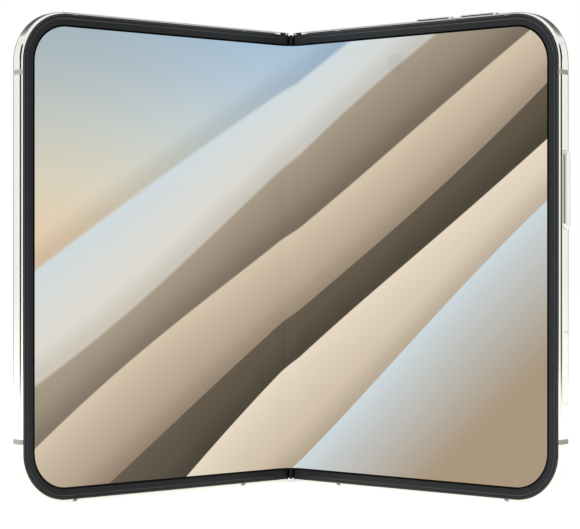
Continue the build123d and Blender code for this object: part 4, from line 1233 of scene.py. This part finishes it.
    def barrel_material(self, wardrobe: Wardrobe) -> bpy.types.Material:
        """Makes the black barrel, whose front element shines in deep blue and violet.

        Args:
            wardrobe: Holds the shared effects.

        Returns:
            The material.
        """
        material = FINISHES["barrel"].make(wardrobe.effects)
        tree = Tree(material.node_tree)
        shader = material.node_tree.nodes["Principled BSDF"]
        place = tree.add("TexCoord").outputs["Object"]
        sheen = tree.add("TexNoise", {"Vector": place, "Scale": 160.0, "Detail": 1.0}).outputs["Fac"]
        tint = tree.add("ValToRGB", {"Fac": sheen})
        tint.color_ramp.elements[0].color = tone("070a15")
        tint.color_ramp.elements[1].color = tone("110b18")
        tree.feed(shader.inputs["Base Color"], tint.outputs[0])
        shader.inputs["Coat Weight"].default_value = 0.3
        return material

    def lens_glass(self, wardrobe: Wardrobe) -> bpy.types.Material:
        """Makes the clear glass over the lenses.

        Args:
            wardrobe: Holds the shared effects.

        Returns:
            The material.
        """
        material = bpy.data.materials.new("lens_glass")
        material.use_nodes = True
        tree = Tree(material.node_tree)
        shader = material.node_tree.nodes["Principled BSDF"]
        marks = wardrobe.effects["handling"].place(tree, {"Roughness": 0.01, "Smear": 0.03})
        tree.feed(shader.inputs["Roughness"], marks.outputs["Roughness"])
        shader.inputs["Base Color"].default_value = tone("f4f6fa")
        shader.inputs["Transmission Weight"].default_value = 1.0
        shader.inputs["IOR"].default_value = 1.5
        return material

    def flash_material(self, wardrobe: Wardrobe) -> bpy.types.Material:
        """Makes the pale, ringed flash lens."""
        finish = Finish("flash_lens", "f2ecd2", "e6dcb4", 0.2, 0.34, "flash", lay=Lay.EVEN, coat=0.5)
        return finish.make(wardrobe.effects)

    def build(self, leaves: Sequence[LeafPlace], nodes: dict[str, bpy.types.Object],
              wardrobe: Wardrobe) -> None:
        """Builds both backs.

        Args:
            leaves: Both leaves.
            nodes: The frame's nodes by name.
            wardrobe: Makes the finishes.
        """
        left, right = leaves
        cover = self.plate(left, "cover_glass_plate", [self.plate_loop()], -LEAF_THICKNESS,
                           self.thickness, self.edge, wardrobe.get("cover"))
        holes = [self.circle(self.plateau_s, z, self.bore) for z in self.lens_heights]
        holes.append(self.circle(*self.flash_spot(), self.flash_radius))
        back = self.plate(right, "back_glass_plate", [self.plate_loop(), *holes], -LEAF_THICKNESS,
                          self.thickness, self.edge, wardrobe.get("pearl"))
        for piece, leaf, node, slot in ((cover, left, "cover_glass", "cover_glass"),
                                        (back, right, "back_glass", "back_glass")):
            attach(piece, leaf.body)
            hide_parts(node)
        wardrobe.dress(nodes["camera_plateau"], "plateau")
        wardrobe.dress(nodes["cover_camera"], "barrel")
        self.camera_set(right, wardrobe)


# ------------------------------------------------------------------------------------ studio
@dataclass
class Studio:
    """Camera, pale floor, soft lamps and the dark cards that the metal reflects."""

    camera_distance: float = 0.4739
    camera_height: float = 0.0603
    lens: float = 114.73
    sensor: float = 36.0
    frame_width: int = 580
    shift_x_pixels: float = -0.9
    shift_y_pixels: float = -7.5
    sky: float = 0.55
    card_distance: float = 0.45

    def camera(self) -> None:
        """Places the camera level with the phone's middle, in front of the fold."""
        data = bpy.data.cameras.new("camera")
        data.sensor_width = self.sensor
        data.sensor_fit = "HORIZONTAL"
        data.lens = self.lens
        data.shift_x = self.shift_x_pixels / self.frame_width
        data.shift_y = self.shift_y_pixels / self.frame_width
        data.clip_start = 0.01
        made = bpy.data.objects.new("camera", data)
        made.location = (0, -self.camera_distance, self.camera_height)
        made.rotation_euler = (pi / 2, 0, 0)
        bpy.context.scene.collection.objects.link(made)
        bpy.context.scene.camera = made

    @staticmethod
    def seen(tree: Tree) -> bpy.types.NodeSocket:
        """Gives 1 for rays of the camera, of reflections and of what is seen through glass."""
        rays = tree.add("LightPath").outputs
        either = tree.math("MAXIMUM", rays["Is Camera Ray"], rays["Is Glossy Ray"])
        return tree.math("MAXIMUM", either, rays["Is Transmission Ray"])

    def world(self) -> None:
        """Lights the scene softly from all round, before a white background."""
        world = bpy.data.worlds.new("studio_sky")
        bpy.context.scene.world = world
        world.use_nodes = True
        tree = Tree(world.node_tree)
        tree.tree.nodes.clear()
        soft = tree.add("Background", {"Color": (1, 1, 1, 1), "Strength": self.sky})
        white = tree.add("Background", {"Color": (1, 1, 1, 1), "Strength": 1.0})
        mixed = tree.add("MixShader", {0: self.seen(tree), 1: soft.outputs[0], 2: white.outputs[0]})
        tree.add("OutputWorld", {"Surface": mixed.outputs[0]})

    def floor(self) -> None:
        """Lays the pale floor, which shows white and keeps the phone's shadow."""
        mesh = bpy.data.meshes.new("studio_floor")
        half = 3.0
        mesh.from_pydata([(-half, -half, 0), (half, -half, 0), (half, half, 0), (-half, half, 0)], [],
                         [(0, 1, 2, 3)])
        floor = bpy.data.objects.new("studio_floor", mesh)
        bpy.context.scene.collection.objects.link(floor)
        material = bpy.data.materials.new("studio_floor")
        material.use_nodes = True
        tree = Tree(material.node_tree)
        tree.tree.nodes.clear()
        place = tree.add("TexCoord").outputs["Object"]
        speck = tree.add("TexNoise", {"Vector": place, "Scale": 900.0}).outputs["Fac"]
        pale = tree.add("ValToRGB", {"Fac": speck})
        pale.color_ramp.elements[0].color = (0.74, 0.74, 0.74, 1)
        pale.color_ramp.elements[1].color = (0.8, 0.8, 0.8, 1)
        plain = tree.add("BsdfDiffuse", {"Color": pale.outputs[0]})
        glow = tree.add("Emission", {"Color": (1, 1, 1, 1), "Strength": 0.6})
        bright = tree.add("AddShader", {0: plain.outputs[0], 1: glow.outputs[0]})
        mixed = tree.add("MixShader", {0: self.seen(tree), 1: plain.outputs[0], 2: bright.outputs[0]})
        tree.add("OutputMaterial", {"Surface": mixed.outputs[0]})
        mesh.materials.append(material)

    def lamp(self, name: str, place: tuple[float, float, float], size: float, power: float) -> None:
        """Adds a soft square lamp that faces the phone.

        Args:
            name: Name of the lamp.
            place: Where it stands.
            size: Length of its side.
            power: Its power in watts.
        """
        data = bpy.data.lights.new(name, "AREA")
        data.size = size
        data.energy = power
        lamp = bpy.data.objects.new(name, data)
        lamp.location = place
        aim = Vector((0, 0, self.camera_height)) - lamp.location
        lamp.rotation_euler = aim.to_track_quat("-Z", "Y").to_euler()
        lamp.visible_glossy = False
        bpy.context.scene.collection.objects.link(lamp)

    def card(self, name: str, bearing: float, climb: float, width: float, height: float,
             gray: float) -> None:
        """Stands a card beside the phone that only reflections show.

        Args:
            name: Name of the card.
            bearing: Degrees from straight behind the phone, clockwise seen from above.
            climb: Degrees above the level of the phone's middle.
            width: Width of the card.
            height: Height of the card.
            gray: How bright the card shows.
        """
        around, up = radians(bearing), radians(climb)
        away = Vector((sin(around) * cos(up), cos(around) * cos(up), sin(up)))
        mesh = bpy.data.meshes.new(name)
        mesh.from_pydata([(-width / 2, -height / 2, 0), (width / 2, -height / 2, 0),
                          (width / 2, height / 2, 0), (-width / 2, height / 2, 0)], [], [(0, 1, 2, 3)])
        card = bpy.data.objects.new(name, mesh)
        card.location = Vector((0, 0, self.camera_height)) + away * self.card_distance
        card.rotation_euler = away.to_track_quat("-Z", "Y").to_euler()
        bpy.context.scene.collection.objects.link(card)
        material = bpy.data.materials.new(name)
        material.use_nodes = True
        tree = Tree(material.node_tree)
        tree.tree.nodes.clear()
        glow = tree.add("Emission", {"Color": (gray, gray, gray, 1), "Strength": 1.0})
        tree.add("OutputMaterial", {"Surface": glow.outputs[0]})
        mesh.materials.append(material)
        for ray in ("camera", "diffuse", "transmission", "volume_scatter", "shadow"):
            setattr(card, "visible_" + ray, False)

    def build(self) -> None:
        """Sets up the whole studio."""
        bpy.context.scene.view_settings.view_transform = "Standard"
        self.camera()
        self.world()
        self.floor()
        self.lamp("key_lamp", (-0.7, -0.75, 0.55), 0.9, 5.5)
        self.lamp("fill_lamp", (0.9, -0.5, 0.7), 0.9, 0.7)
        self.lamp("back_lamp", (0.1, 0.9, 0.9), 0.9, 3.0)
        for side, word in ((1, "right"), (-1, "left")):
            self.card(f"{word}_front_card", side * 118, 0, 0.48, 0.6, 0.012)
            self.card(f"{word}_back_card", side * 34, 0, 0.5, 0.5, 0.26)
        self.card("back_top_card", 0, 33, 0.9, 0.22, 0.12)
        self.card("overhead_card", 0, 62, 1.0, 0.2, 0.55)
        LOG.info("set up the studio")


def main() -> None:
    """Builds the phone's looks around the frame, piece by piece."""
    logging.basicConfig(level=logging.INFO, format="%(message)s")
    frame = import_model()
    pins = {joint["child"]: Vector(joint["pos_m"]) for joint in frame["joints"] if "pos_m" in joint}
    leaves = [LeafPlace(side, pins[body], body) for side, body in ((-1, "left_leaf"), (1, "right_leaf"))]
    wardrobe = Wardrobe()
    Studio().build()
    Display().build(leaves, wardrobe)
    Trim().build(leaves, wardrobe)
    SpineEnds().build(leaves[1], wardrobe)
    Openings().build(leaves, wardrobe)
    Works().build(frame["nodes"], wardrobe)
    Backs().build(leaves, frame["nodes"], wardrobe)


if __name__ == "__main__":
    main()
